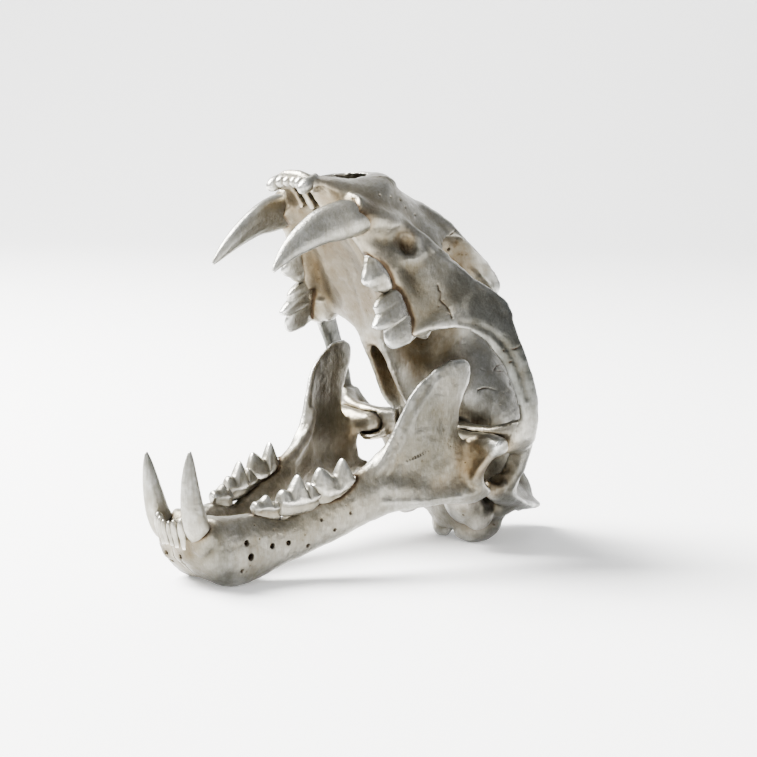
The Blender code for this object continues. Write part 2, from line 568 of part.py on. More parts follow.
def cranium():
    f = "cranium"
    middle = [
        body(PALATE, "palate", f, power=3.2),
        body(FRONTAL, "frontal", f, power=2.4),
        body(BRIM, "brim", f, power=2.0),
        body(BRAINCASE, "vault", f, power=2.1),
        body(CREST, "sagittal", f, power=2.0, sides=12),
        body(BASE, "base", f, power=2.4),
        body(OCCIPUT, "occiput", f, along="u", power=2.0),
        tube(PREMAXILLA, "premaxilla", f),
    ]
    side = [
        tube(CHEEK, "cheek", f, rise=(0.25, 0.0, 0.97), power=2.5),
        strip(ZYGOMA, "zygoma", f),
        tube(SHELF, "shelf", f, power=2.2),
        tube(TUBER, "tuber", f, power=2.3),
        tube(ALVEOLI, "alveoli", f, power=2.4),
        tube(CANINE_WALL, "canine_wall", f, rise=(1, 0, 0)),
        tube(NUCHAL, "nuchal", f, rise=(0.5, 0.35, 0.8), sides=12),
        tube(GLENOID, "glenoid", f, power=2.3),
        tube(POSTGLENOID, "postglenoid", f),
        body(PTERYGOID, "pterygoid", f, sides=12),
        egg((23, 187, 10), (9.5, 14, 9.5), "bulla", f, turn=12),
        egg((26, 199, 13), (6, 6, 8), "paroccipital", f),
        egg((41, 182, 18), (5, 7, 7), "mastoid", f),
        tube(CONDYLE_OCCIPITAL, "occipital_condyle", f, rise=(0, 1, 0)),
    ]
    whole = body(MUZZLE, "whole", f, power=2.3, count=30)
    boolean(whole, middle + both(side), "UNION")
    orbit = tube(ORBIT, "orbit", f, power=2.3, sides=32)
    infraorbital = tube(INFRAORBITAL, "infraorbital", f)
    slot = tube([(3.6, 13, 8, 1.8, 8), (4.2, 22, 8, 2.4, 8), (4.6, 30, 8, 1.6, 8)], "slot", f)
    meatus = tube([(27, 170, 19, 3.2, 3.2), (46, 176, 19, 4.2, 4.2)], "meatus", f)
    cast(whole, 90000, fill=FILLET)
    middle_cuts = [
        body(NASAL, "nasal", f), body(CHOANA, "choana", f, power=2.6),
        body(VAULT_OF_PALATE, "palate_vault", f, power=2.4), tube(MAGNUM, "magnum", f),
    ]
    boolean(whole, middle_cuts + both([orbit, infraorbital, slot, meatus]), "DIFFERENCE")
    cast(whole, CRANIUM_TRIS, rounds=2)
    return whole


def upper_teeth():
    f = "cranium"
    teeth = [tube(UPPER_CANINE, "canine", f, rise=UPPER_CANINE_TURN, sides=14, count=14)]
    for x, b, half, tall in UPPER_INCISORS:
        teeth.append(cusp((x, b, 4), (x, b + 0.4, 4 - tall - 1.5), half, half * 1.2, "incisor", f))
    for gum, rows in UPPER_BLADES:
        teeth.append(blade(gum, rows, "cheek_tooth", f, 6))
    teeth.append(cusp(PROTOCONE[:3], PROTOCONE[3:6], *PROTOCONE[6:], "protocone", f))
    return both(teeth)


def lower_teeth(lean):
    """One side's teeth; lean moves the canine by x, b and u."""
    f = "mandible"
    canine = []
    for x, b, u, wide, long in LOWER_CANINE:
        spread = lean[3] * (u + 7.0) / 40.0
        canine.append((x + lean[0], b + lean[1] + spread, u + lean[2], wide, long))
    teeth = [tube(canine, "canine", f, rise=(0, 1, 0), sides=14, count=13)]
    for x, b, half, tall in LOWER_INCISORS:
        teeth.append(cusp((x, b, -9), (x, b - 1.2, -9 + tall + 2), half, half * 1.1, "incisor", f))
    for gum, rows in LOWER_BLADES:
        teeth.append(blade(gum, rows, "cheek_tooth", f, -6))
    return teeth


def mandible(name, lean):
    """One half of the lower jaw, built on the animal's left."""
    f = "mandible"
    half = body(JAW, name, f, power=2.4, count=40)
    socket = np.array(CANINE_SOCKET) + lean[:3]
    extra = [
        egg(socket, (6, 6.8, 8), "socket", f),
        body(SYMPHYSIS, "symphysis", f),
        body(RAMUS, "ramus", f, along="u", bend=RAMUS_BEND, sides=32),
        tube(RIDGE, "ridge", f, rise=(1, 0, 0)),
        tube(RETROMOLAR, "retromolar", f, power=2.4),
        body(NECK, "neck", f, along="u"),
        tube(CONDYLE, "condyle", f, sides=20),
    ]
    boolean(half, extra, "UNION")
    cast(half, MANDIBLE_TRIS, rounds=3, fill=FILLET // 2)
    boolean(half, lower_teeth(lean), "UNION")
    middle_wall = block((-0.05, -0.2, -0.05), (SEAM * 0.0005, 0.2, 0.3), "middle_wall")
    boolean(half, [middle_wall], "DIFFERENCE")
    return half


def show(piece, name, look):
    """Puts one finished piece into the part under its own name and material."""
    piece.name = name
    piece.data.name = name
    for owner in list(piece.users_collection):
        owner.objects.unlink(piece)
    parts.objects.link(piece)
    piece.data.materials.clear()
    piece.data.materials.append(look)


def divided(whole):
    """The cranium parted into face, braincase and both arches by thin cuts."""
    far = 120.0
    arches = []
    for side in (1, -1):
        x = sorted((side * ARCH_INNER, side * far))
        piece = copy_of(whole, "arch")
        boolean(piece, [slab((x[0], ARCH_START + SEAM, -far), (x[1], ARCH_END, far), "room")], "INTERSECT")
        arches.append(piece)
    face = copy_of(whole, "face")
    boolean(face, [slab((-far, -far, -far), (far, FACE_END, far), "room")], "INTERSECT")
    back = copy_of(whole, "back")
    boolean(back, [slab((-far, FACE_END + SEAM, -far), (far, 260.0, far), "room")], "INTERSECT")
    for piece, lo, hi in ((face, ARCH_START, far), (back, 0.0, ARCH_END + SEAM)):
        for side in (1, -1):
            x = sorted((side * (ARCH_INNER - SEAM), side * far))
            boolean(piece, [slab((x[0], lo, -far), (x[1], hi, far), "room")], "DIFFERENCE")
    return face, back, arches


def rested(piece):
    """Flattens what stands on the floor."""
    floor = block((-0.2, -0.3, -0.05), (0.2, 0.3, 0.0), "floor")
    return boolean(piece, [floor], "DIFFERENCE")


left = mandible("left", (0.0, 0.0, 0.0, 0.0))
far_half = mandible("far", FAR_LEAN)
right = mirrored(far_half)
bpy.data.objects.remove(far_half, do_unlink=True)
whole = cranium()
boolean(whole, upper_teeth(), "UNION")
boolean(whole, [grown(left, SEAM), grown(right, SEAM)], "DIFFERENCE")
face, back, arches = divided(whole)
bpy.data.objects.remove(whole, do_unlink=True)
for piece in (left, right, back):
    rested(piece)

SILVER = (0.72, 0.71, 0.68)
show(face, "rostrum", material("rostrum_silver", SILVER, 0.32))
show(back, "braincase", material("braincase_silver", SILVER, 0.36))
show(arches[0], "zygomatic_arch_left", material("arch_silver", SILVER, 0.34))
show(arches[1], "zygomatic_arch_right", material("arch_silver_far", SILVER, 0.34))
show(left, "mandible_left", material("mandible_silver", SILVER, 0.33))
show(right, "mandible_right", material("mandible_silver_far", SILVER, 0.33))
for old in list(cutters.objects):
    bpy.data.objects.remove(old, do_unlink=True)
bpy.data.collections.remove(cutters)
for piece in parts.objects:
    print(piece.name, len(piece.data.polygons))
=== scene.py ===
import math

import bmesh
import bpy
import numpy as np
from mathutils import Matrix, Vector


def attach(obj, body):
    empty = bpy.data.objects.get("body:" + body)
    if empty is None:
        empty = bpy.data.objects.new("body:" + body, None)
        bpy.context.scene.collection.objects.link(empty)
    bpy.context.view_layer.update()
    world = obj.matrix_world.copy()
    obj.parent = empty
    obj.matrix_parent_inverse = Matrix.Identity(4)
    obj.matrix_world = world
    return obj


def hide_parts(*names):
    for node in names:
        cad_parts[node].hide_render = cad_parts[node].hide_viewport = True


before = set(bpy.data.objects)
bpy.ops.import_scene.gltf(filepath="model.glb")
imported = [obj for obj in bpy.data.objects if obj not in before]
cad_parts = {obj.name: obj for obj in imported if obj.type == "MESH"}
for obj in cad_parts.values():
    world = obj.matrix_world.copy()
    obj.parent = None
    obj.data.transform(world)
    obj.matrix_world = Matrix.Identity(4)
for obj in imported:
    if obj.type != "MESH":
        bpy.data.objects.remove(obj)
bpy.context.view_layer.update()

# Life-size leopard skull cast in silver, jaws wide open, standing on its chin and the back of
# the braincase. Forms are written in millimetres in two head frames: x to the animal's left,
# b back from the front teeth, u up from the tooth row.
heads = {
    "cranium": {"pitch": 63.154, "at": (59.46, 190.81)},
    "jaw": {"pitch": -4.646, "at": (-0.57, 34.8)},
    "origin": (107.52, 2.68),
}
# sizes of the making in mm, rounds of filling and smoothing, and the gap in the jaw joint in metres
making = {"voxel": 0.8, "roughVoxel": 1.0, "step": 1.6, "sides": 64, "roughFillets": 30, "fillets": 6,
          "softenings": 2, "tris": {"cranium": 140000, "jaw": 80000}, "jointGap": 0.0005}

# camera: orbits a point of the upright skull, then leans with it by the resting tilt
view = {"target": (0.0, 118.82, 85.95), "azimuth": 49.8, "elevation": 8.6, "distance": 1022.0,
        "lens": 101.15, "lean": 0.946}
az, el = math.radians(view["azimuth"]), math.radians(view["elevation"])
back = Vector((math.sin(az) * math.cos(el), -math.cos(az) * math.cos(el), math.sin(el)))
place = Matrix.Translation((Vector(view["target"]) + back * view["distance"]) * 0.001)
turned = place @ back.to_track_quat("Z", "Y").to_matrix().to_4x4()
camera = bpy.data.objects.new("camera", bpy.data.cameras.new("camera"))
bpy.context.scene.collection.objects.link(camera)
lowered = Matrix.Translation((0.0, -heads["origin"][0] * 0.001, -heads["origin"][1] * 0.001))
camera.matrix_world = lowered @ Matrix.Rotation(math.radians(view["lean"]), 4, "X") @ turned
camera.data.lens = view["lens"]
camera.data.sensor_width = 36.0
camera.data.clip_end = 20.0
bpy.context.scene.camera = camera
print("camera set")

mirror = np.array([-1.0, 1.0, 1.0])


def turnOf(head):
    # cosine and sine of the head's pitch, and where its frame lies, in mm
    angle = math.radians(heads[head]["pitch"])
    return math.cos(angle), math.sin(angle), *heads[head]["at"]


def placed(points, head):
    # head frame in mm to the row frame in metres: turned down by the head's pitch, then shifted
    c, s, y0, z0 = turnOf(head)
    x, b, u = points[..., 0], points[..., 1], points[..., 2]
    y = y0 + b * c + u * s - heads["origin"][0]
    z = z0 - b * s + u * c - heads["origin"][1]
    return np.stack([x, y, z], axis=-1) * 0.001


def homed(points, head):
    # row frame in metres back to the head frame in mm
    c, s, y0, z0 = turnOf(head)
    y = points[..., 1] * 1000.0 - y0 + heads["origin"][0]
    z = points[..., 2] * 1000.0 - z0 + heads["origin"][1]
    return np.stack([points[..., 0] * 1000.0, y * c - z * s, y * s + z * c], axis=-1)


def curve(rows, step):
    # smooth cubic through the rows (value and slope at each), one point every step mm
    rows = np.array(rows, dtype=float)
    gaps = np.linalg.norm(np.diff(rows[:, :3], axis=0), axis=1)
    at = np.concatenate([[0.0], np.cumsum(gaps)])
    slope = np.gradient(rows, at, axis=0)
    t = np.linspace(0.0, at[-1], max(int(at[-1] / step), 8))
    k = np.clip(np.searchsorted(at, t, side="right") - 1, 0, len(at) - 2)
    h = (at[k + 1] - at[k])[:, None]
    s = (t - at[k])[:, None] / h
    p = rows[k] * (2 * s**3 - 3 * s**2 + 1) + rows[k + 1] * (3 * s**2 - 2 * s**3)
    return p + slope[k] * h * (s**3 - 2 * s**2 + s) + slope[k + 1] * h * (s**3 - s**2)


def rings(centre, side, rise, wide, up, down, power, sides):
    # grid of sections: superellipse of angle t, cos(t)^(2/power) across and sin(t)^(2/power) high,
    # with its own height above and below the middle
    t = np.linspace(0.0, 2 * np.pi, sides, endpoint=False)
    c = np.sign(np.cos(t)) * np.abs(np.cos(t)) ** (2.0 / power)
    s = np.sign(np.sin(t)) * np.abs(np.sin(t)) ** (2.0 / power)
    across = wide[:, None] * c
    height = np.where(s > 0, up[:, None], down[:, None]) * s
    return centre[:, None] + across[..., None] * side[:, None] + height[..., None] * rise[:, None]


def closed(grid):
    # skin over a grid of rings: quads between rings, a fan to a middle point at each end,
    # turned so that the volume under the faces is positive
    count, sides = grid.shape[:2]
    points = np.concatenate([grid.reshape(-1, 3), grid[0].mean(0)[None], grid[-1].mean(0)[None]])
    i, j = np.meshgrid(np.arange(count - 1), np.arange(sides), indexing="ij")
    k = (j + 1) % sides
    quads = np.stack([i * sides + j, i * sides + k, (i + 1) * sides + k, (i + 1) * sides + j], axis=-1)
    j = np.arange(sides)
    k = (j + 1) % sides
    first, last = count * sides, count * sides + 1
    low = np.stack([k, j, np.full(sides, first)], axis=-1)
    high = np.stack([j + (count - 1) * sides, k + (count - 1) * sides, np.full(sides, last)], axis=-1)
    quads = quads.reshape(-1, 4)
    tris = np.concatenate([low, high, quads[:, [0, 1, 2]], quads[:, [0, 2, 3]]])
    a, b, c = points[tris[:, 0]], points[tris[:, 1]], points[tris[:, 2]]
    if (a * np.cross(b, c)).sum() < 0:
        quads, low, high = quads[:, ::-1], low[:, ::-1], high[:, ::-1]
    return points, quads.tolist() + low.tolist() + high.tolist()


def stack(form):
    # sections square to one axis; rows are x, b, u, half width, up, down (or back, fore)
    upright = form.get("along") == "u"
    line = curve(form["rows"], making["step"])
    line[:, 3:] = np.maximum(line[:, 3:], 0.4)
    ones = np.ones((len(line), 1))
    rise = ones * np.array([0.0, 1.0, 0.0] if upright else [0.0, 0.0, 1.0])
    grid = rings(line[:, :3], ones * np.array([1.0, 0.0, 0.0]), rise, line[:, 3], line[:, 4], line[:, 5],
                 form.get("power", 2.3), making["sides"])
    if "bend" in form:
        at, shift = np.array(form["bend"], dtype=float).T
        grid[..., 0] += np.interp(grid[..., 1], at, shift)
    return grid


def sweep(form):
    # section carried along a path; rows are x, b, u, half width, half height
    line = curve(form["rows"], form.get("step", making["step"]))
    line[:, 3:] = np.maximum(line[:, 3:], 0.25)
    ahead = np.gradient(line[:, :3], axis=0)
    ahead /= np.linalg.norm(ahead, axis=1)[:, None]
    rise = np.array(form.get("rise", (0.0, 0.0, 1.0)))
    up = rise - ahead * (ahead @ rise)[:, None]
    up /= np.linalg.norm(up, axis=1)[:, None]
    return rings(line[:, :3], np.cross(ahead, up), up, line[:, 3], line[:, 4], line[:, 4],
                 form.get("power", 2.0), form.get("sides", making["sides"]))


def strip(form):
    # section stretched between two edges, square to the path of their middle; rows are the
    # lower edge's x, b, u, the upper edge's x, b, u and the half thickness
    line = curve(form["rows"], making["step"])
    middle, half = (line[:, 3:6] + line[:, :3]) / 2, (line[:, 3:6] - line[:, :3]) / 2
    across = np.cross(np.gradient(middle, axis=0), half)
    across /= np.linalg.norm(across, axis=1)[:, None]
    ones = np.ones(len(line))
    return rings(middle, across, half, line[:, 6], ones, ones, form["power"], making["sides"])


def ball(form):
    # ellipsoid of latitude and longitude, turned about its upright axis
    k = np.sin(np.linspace(-0.985, 0.985, 24) * np.pi / 2)
    turn = math.radians(form.get("turn", 0.0))
    side = np.array([math.cos(turn), math.sin(turn), 0.0])
    fore = np.array([-math.sin(turn), math.cos(turn), 0.0])
    wide, long, tall = form["radii"]
    round_ = np.sqrt(1 - k * k)
    centre = np.array(form["ball"]) + np.outer(k * long, fore)
    ones = np.ones((len(k), 1))
    return rings(centre, ones * side, ones * np.array([0.0, 0.0, 1.0]), wide * round_, tall * round_,
                 tall * round_, 2.0, 40)


def gridOf(form):
    # a ball, or else what the length of the form's rows stands for
    if "ball" in form:
        return ball(form)
    kinds = {5: sweep, 6: stack, 7: strip}
    return kinds[len(form["rows"][0])](form)


def objectOf(points, faces, name):
    mesh = bpy.data.meshes.new(name)
    mesh.from_pydata(points.tolist(), [], faces)
    piece = bpy.data.objects.new(name, mesh)
    bpy.context.scene.collection.objects.link(piece)
    return piece


def skinned(grids, head, name):
    # closed skins over grids of rings, together in one mesh
    points, faces, count = [], [], 0
    for grid in grids:
        p, f = closed(grid)
        points.append(placed(p, head))
        faces += [[v + count for v in face] for face in f]
        count += len(p)
    return objectOf(np.concatenate(points), faces, name)


def gathered(forms, head, name):
    # every form of a list in one mesh, paired ones on both sides
    grids = []
    for form in forms:
        grid = gridOf(form)
        grids += [grid, grid * mirror] if form.get("paired") else [grid]
    return skinned(grids, head, name)


def applied(piece):
    # replaces the mesh by what the piece's modifiers make of it
    graph = bpy.context.evaluated_depsgraph_get()
    mesh = bpy.data.meshes.new_from_object(piece.evaluated_get(graph))
    piece.modifiers.clear()
    old = piece.data
    piece.data = mesh
    bpy.data.meshes.remove(old)
    return piece


def melted(piece, voxel):
    # bodies that overlap become one closed skin, on a grid with this step in mm
    step = piece.modifiers.new("skin", "REMESH")
    step.mode = "VOXEL"
    step.voxel_size = voxel * 0.001
    return applied(piece)


def carved(piece, tool):
    # takes the tool's body out of the piece
    step = piece.modifiers.new("cut", "BOOLEAN")
    step.operation = "DIFFERENCE"
    step.solver = "MANIFOLD"
    step.object = tool
    bpy.context.view_layer.update()
    return applied(piece)


def pointsOf(mesh):
    flat = np.empty(len(mesh.vertices) * 3)
    mesh.vertices.foreach_get("co", flat)
    return flat.reshape(-1, 3)


def normalsOf(mesh):
    flat = np.empty(len(mesh.vertices) * 3)
    mesh.vertex_normals.foreach_get("vector", flat)
    return flat.reshape(-1, 3)


def setPoints(mesh, points):
    mesh.vertices.foreach_set("co", points.ravel())
    mesh.update()


def edgesOf(mesh):
    # each edge both ways round, and how many edges meet at each point
    ends = np.empty(len(mesh.edges) * 2, dtype=np.int32)
    mesh.edges.foreach_get("vertices", ends)
    here = np.concatenate([ends[0::2], ends[1::2]])
    there = np.concatenate([ends[1::2], ends[0::2]])
    return here, there, np.maximum(np.bincount(here, minlength=len(mesh.vertices)), 1)[:, None]


def spread(values, edges):
    # mean of the neighbours' values
    here, there, degree = edges
    count = len(degree)
    return np.stack([np.bincount(here, col[there], count) for col in values.T], axis=1) / degree


def filled(piece, rounds):
    # fillet: points move outward towards their neighbours' middle and never inward
    mesh = piece.data
    points, edges = pointsOf(mesh), edgesOf(mesh)
    for step in range(rounds):
        if step % 8 == 0:
            setPoints(mesh, points)
            outward = normalsOf(mesh)
        gap = ((spread(points, edges) - points) * outward).sum(axis=1)
        points += outward * (0.5 * np.maximum(gap, 0.0))[:, None]
    setPoints(mesh, points)


def softened(piece, rounds):
    # every point moves half way to its neighbours' middle, once a round
    mesh = piece.data
    points, edges = pointsOf(mesh), edgesOf(mesh)
    for step in range(rounds):
        points += 0.5 * (spread(points, edges) - points)
    setPoints(mesh, points)


def largest(piece):
    # keeps the biggest closed surface: labels run along the edges until they agree
    mesh = piece.data
    here, there, degree = edgesOf(mesh)
    label = np.arange(len(mesh.vertices))
    while True:
        low = label.copy()
        np.minimum.at(low, here, label[there])
        low = low[low]
        if (low == label).all():
            break
        label = low
    names, counts = np.unique(label, return_counts=True)
    drop = np.flatnonzero(label != names[counts.argmax()])
    if len(drop):
        made = bmesh.new()
        made.from_mesh(mesh)
        made.verts.ensure_lookup_table()
        bmesh.ops.delete(made, geom=[made.verts[i] for i in drop], context="VERTS")
        made.to_mesh(mesh)
        made.free()


def thinned(piece, tris):
    # edges collapse until about this many triangles are left
    step = piece.modifiers.new("thin", "DECIMATE")
    count = sum(len(face.vertices) - 2 for face in piece.data.polygons)
    step.ratio = min(1.0, tris / count)
    return applied(piece)


def reach(points, path):
    # distance from every point to a chain of tapered rods; path rows are x, b, u, radius
    path = np.array(path, dtype=float)
    best = np.full(len(points), 1e9)
    for a, b in zip(path[:-1], path[1:]):
        run = b[:3] - a[:3]
        t = np.clip(((points - a[:3]) @ run) / max(run @ run, 1e-9), 0.0, 1.0)
        off = np.linalg.norm(points - a[:3] - t[:, None] * run, axis=1)
        best = np.minimum(best, off - (a[3] + t * (b[3] - a[3])))
    return best


def ripple(points, wavelength, seed, waves=48):
    # random relief: sum of plane waves in seeded directions, each of about one wavelength
    dice = np.random.default_rng(seed)
    ways = dice.normal(size=(waves, 3))
    ways *= (2 * np.pi / wavelength * dice.uniform(0.7, 1.4, waves) / np.linalg.norm(ways, axis=1))[:, None]
    phase = dice.uniform(0, 2 * np.pi, waves)
    total = np.zeros(len(points))
    for way, start in zip(ways, phase):
        total += np.sin(points @ way + start)
    return total / math.sqrt(waves / 2)


def smooth(values, low, high):
    # 0 below low, 1 above high and 3 t^2 - 2 t^3 between them
    t = np.clip((values - low) / (high - low), 0.0, 1.0)
    return t * t * (3 - 2 * t)


# the skull above the jaw
cranium = {
    "muzzle": {"rows": [
        (0, 6, 2.6, 10, 2, 2.2), (0, 9, 4, 15, 4, 3), (0, 14, 7.5, 19, 11, 4.5), (0, 18.5, 12, 22, 13.5, 8),
        (0, 21.5, 14, 24.5, 19, 9.5), (0, 26, 17, 27.5, 26.5, 12), (0, 35, 19, 29, 28.5, 12.5),
        (0, 43, 21, 28.5, 32.5, 13), (0, 52, 22, 28.5, 37, 13), (0, 61, 24, 31, 40.5, 15),
        (0, 68, 25, 33, 43, 15),
    ], "power": 2.3},
    "palate": {"rows": [
        (0, 48, 15, 26, 12, 6), (0, 62, 15, 29, 10, 5), (0, 74, 16, 33, 9, 5), (0, 83, 17, 34, 8, 6),
        (0, 87.5, 17.5, 31, 7, 7), (0, 91, 18, 22.4, 7, 8), (0, 95, 18, 12.6, 7, 8.8),
        (0, 100, 18, 9.6, 7, 9.2), (0, 108, 18, 9, 7, 9.4),
    ], "power": 3.2},
    "forehead": {"rows": [
        (0, 56, 44, 17, 16, 26), (0, 70, 47, 20.5, 20, 32), (0, 82, 50, 21.5, 22.5, 35),
        (0, 95, 52, 21.5, 23, 36), (0, 107, 51, 21, 23, 33), (0, 118, 48, 20, 24, 29),
        (0, 130, 46, 23.5, 25, 26), (0, 142, 44, 28, 26, 22),
    ], "power": 2.4},
    "brow": {"rows": [
        (0, 48, 51, 18, 7, 8), (0, 60, 59, 21.5, 6.5, 8), (0, 74, 63.5, 25.5, 6.5, 6),
        (0, 85, 67, 29.5, 6, 5), (0, 94, 69.5, 32.5, 5, 3.8), (0, 100, 70.5, 33, 4, 3.4),
        (0, 106, 69, 27, 5, 5), (0, 116, 65, 20, 7, 8), (0, 130, 62, 12, 10, 8),
    ], "power": 2.0},
    "vault": {"rows": [
        (0, 112, 44, 18, 22, 20), (0, 125, 44, 22, 24, 20), (0, 138, 43, 29, 26.5, 21),
        (0, 150, 43, 33.5, 27, 22), (0, 163, 43, 35.5, 26, 23), (0, 176, 43, 34, 24, 24),
        (0, 188, 42, 29.5, 21, 25), (0, 199, 39, 25, 18.5, 23), (0, 207, 37, 20, 16, 21),
    ], "power": 2.1},
    "crest": {"rows": [
        (0, 112, 64, 3, 6.5, 6), (0, 125, 64, 2.4, 7.5, 6), (0, 140, 64.5, 2.0, 7.5, 6),
        (0, 160, 65, 1.8, 7.2, 8), (0, 180, 64.5, 1.8, 6.2, 9), (0, 200, 62.5, 1.8, 5.4, 12),
        (0, 214, 61.5, 1.8, 6.5, 14), (0, 224, 61.5, 1.8, 7.5, 10), (0, 230, 61.5, 1.6, 5.5, 6),
    ], "power": 2.0},
    "base": {"rows": [
        (0, 112, 27, 9, 14, 8), (0, 130, 26, 12, 14, 8), (0, 148, 25, 17, 14, 9), (0, 165, 22, 19, 14, 8),
        (0, 182, 19, 22, 14, 9), (0, 197, 17, 18, 12, 8), (0, 209, 17, 13, 10, 7),
    ], "power": 2.4},
    "occiput": {"rows": [
        (0, 200, 14, 21, 7, 8), (0, 201, 24, 32, 10, 10), (0, 206, 35, 27.5, 9, 10),
        (0, 212, 45, 19, 8, 10), (0, 218, 55, 11, 8, 10), (0, 224, 62, 5, 6, 8), (0, 227, 67, 2, 3, 4),
    ], "along": "u", "power": 2.0},
    "premaxilla": {"rows": [
        (-13.5, 12.5, 3.2, 3.6, 3.2), (-8, 8.6, 2.8, 3.5, 3), (0, 7.2, 2.6, 3.5, 2.8),
        (8, 8.6, 2.8, 3.5, 3), (13.5, 12.5, 3.2, 3.6, 3.2),
    ]},
    "cheek": {"rows": [
        (24.5, 40, 18, 5, 12), (27, 50, 20, 5, 14.5), (29.5, 58, 21.5, 5, 16.8), (32, 66, 22.5, 5, 18.3),
        (36.4, 72.1, 23.5, 4.5, 19.3),
    ], "rise": (0.25, 0.0, 0.97), "power": 2.5, "paired": True},
    "arch": {"rows": [
        (27.4, 66, 4.8, 36.6, 66, 40.3, 4.6), (31.6, 72, 4.8, 41.2, 72, 42.2, 4.4),
        (36, 80, 4.8, 44.6, 77.8, 43.4, 4), (40.5, 88, 3.2, 47.6, 82, 44.6, 3.3),
        (44, 87.8, 6, 50.8, 84.8, 45.8, 3.1), (47.2, 87.8, 9.6, 53.4, 87.2, 46.2, 3),
        (50.2, 88.6, 13.1, 56.2, 89.6, 46.8, 3), (53, 89.9, 16.6, 58.8, 91.8, 46.7, 3),
        (55.8, 91.6, 19.8, 61.4, 94, 45.9, 3), (57.8, 93.2, 21.9, 63.4, 96.6, 44.5, 3),
        (60, 96.4, 23.8, 65.4, 99.8, 42.8, 3.1), (62.4, 101.2, 26, 67.4, 104.2, 41.2, 3.2),
        (64.8, 108.4, 27.3, 69, 111, 40.1, 3.2), (66.6, 117.1, 28.6, 69.9, 119.4, 39.4, 3.2),
        (67.4, 125.4, 28.1, 70.3, 128.9, 38.6, 3.1), (67.7, 131.9, 28, 70.3, 136, 37.4, 3.1),
        (67.6, 138, 27.2, 70, 142, 36.2, 3.1), (67.2, 143.6, 26.2, 69.4, 147.4, 34.4, 3.1),
        (66, 150.4, 25, 67.8, 153, 32.4, 2.8), (63.4, 156.4, 24.2, 64.4, 157.8, 31, 3),
        (56.4, 160.4, 23.2, 56.6, 160.6, 30.6, 3.6), (46, 161.4, 21.6, 46, 161.4, 31.2, 4.6),
        (30, 164, 18.5, 30, 164, 34.5, 5.5),
    ], "power": 2.5, "paired": True},
    "shelf": {"rows": [
        (65.5, 149, 31, 3.4, 4), (62, 155, 30, 4.6, 3.4), (57, 162, 30.2, 5.2, 2.6),
        (51.5, 169, 30.4, 5.4, 2.4), (46, 176, 29.4, 5.2, 2.6), (41.5, 183, 24, 4.6, 4),
    ], "power": 2.2, "paired": True},
    "tuber": {"rows": [
        (31, 80, 16, 7, 8), (32, 87, 15, 6, 6.5), (32.6, 91, 14.5, 4, 5), (33, 93.4, 14.5, 2, 3),
    ], "power": 2.3, "paired": True},
    "toothRow": {"rows": [
        (25, 36, 10, 5, 6.5), (27, 46, 11, 4.8, 6.5), (29.8, 57, 14, 4.8, 6.5), (32.5, 69, 16, 5, 7),
        (35.6, 79, 15, 5, 8), (37.6, 84.7, 12.5, 4.8, 7.7), (38.6, 88.4, 10.4, 4.4, 6.8),
        (38.8, 91.2, 7.6, 2.8, 5.6),
    ], "power": 2.4, "paired": True},
    "canineWall": {"rows": [
        (24.6, 24, 6, 8, 9.5), (23.6, 33, 14, 8.8, 11.5), (21.5, 42, 24, 8.6, 12), (18.5, 52, 33, 7, 10),
    ], "rise": (1.0, 0.0, 0.0), "paired": True},
    "neckCrest": {"rows": [
        (-1, 229, 64, 2, 5), (10, 224.5, 57.5, 2, 5), (19, 216.5, 47.5, 2, 5), (28, 207, 36.5, 2.2, 5.5),
        (35.5, 197, 27, 2.6, 6), (40, 188, 20, 4, 6), (40.5, 182, 17, 4.5, 5),
    ], "rise": (0.5, 0.35, 0.8), "paired": True},
    "jointSocket": {"rows": [
        (22, 158, 23, 9, 6), (32, 156, 19.4, 8, 5), (42, 154.6, 18.8, 7.5, 4.3), (52, 154, 19.8, 7.3, 4.2),
        (60, 152.5, 22.8, 7, 4.4), (65, 149, 28, 4.6, 4.4),
    ], "power": 2.3, "paired": True},
    "jointLip": {"rows": [
        (25, 158.5, 17, 2.4, 5), (31, 158.8, 13.5, 1.8, 7), (40, 159.8, 15, 1.7, 6.5),
        (52, 159.8, 17.5, 1.8, 5.5), (60, 157, 21, 2, 4),
    ], "paired": True},
    "pterygoid": {"rows": [
        (6.4, 92, 19, 2.6, 9, 11), (6.5, 104, 19, 2.5, 9, 11), (6.8, 120, 19, 2.4, 10, 10.8),
        (7.4, 131, 18.5, 2.2, 10, 10), (8, 137, 15.5, 1.8, 5, 5.5), (8.4, 141.5, 14, 1.4, 2, 2),
    ], "paired": True},
    "bulla": {"ball": (23, 187, 10), "radii": (9.5, 14.0, 9.5), "turn": 12, "paired": True},
    "paroccipital": {"ball": (26, 199, 13), "radii": (6, 6, 8), "paired": True},
    "mastoid": {"ball": (41, 182, 18), "radii": (5, 7, 7), "paired": True},
    "occipitalCondyle": {"rows": [
        (5, 209, 13.5, 5.5, 5), (9.5, 212.9, 17.5, 7, 6.5), (14.5, 212.6, 23.5, 7.2, 6.8),
        (17, 208.4, 30, 5, 5),
    ], "rise": (0.0, 1.0, 0.0), "paired": True},
}
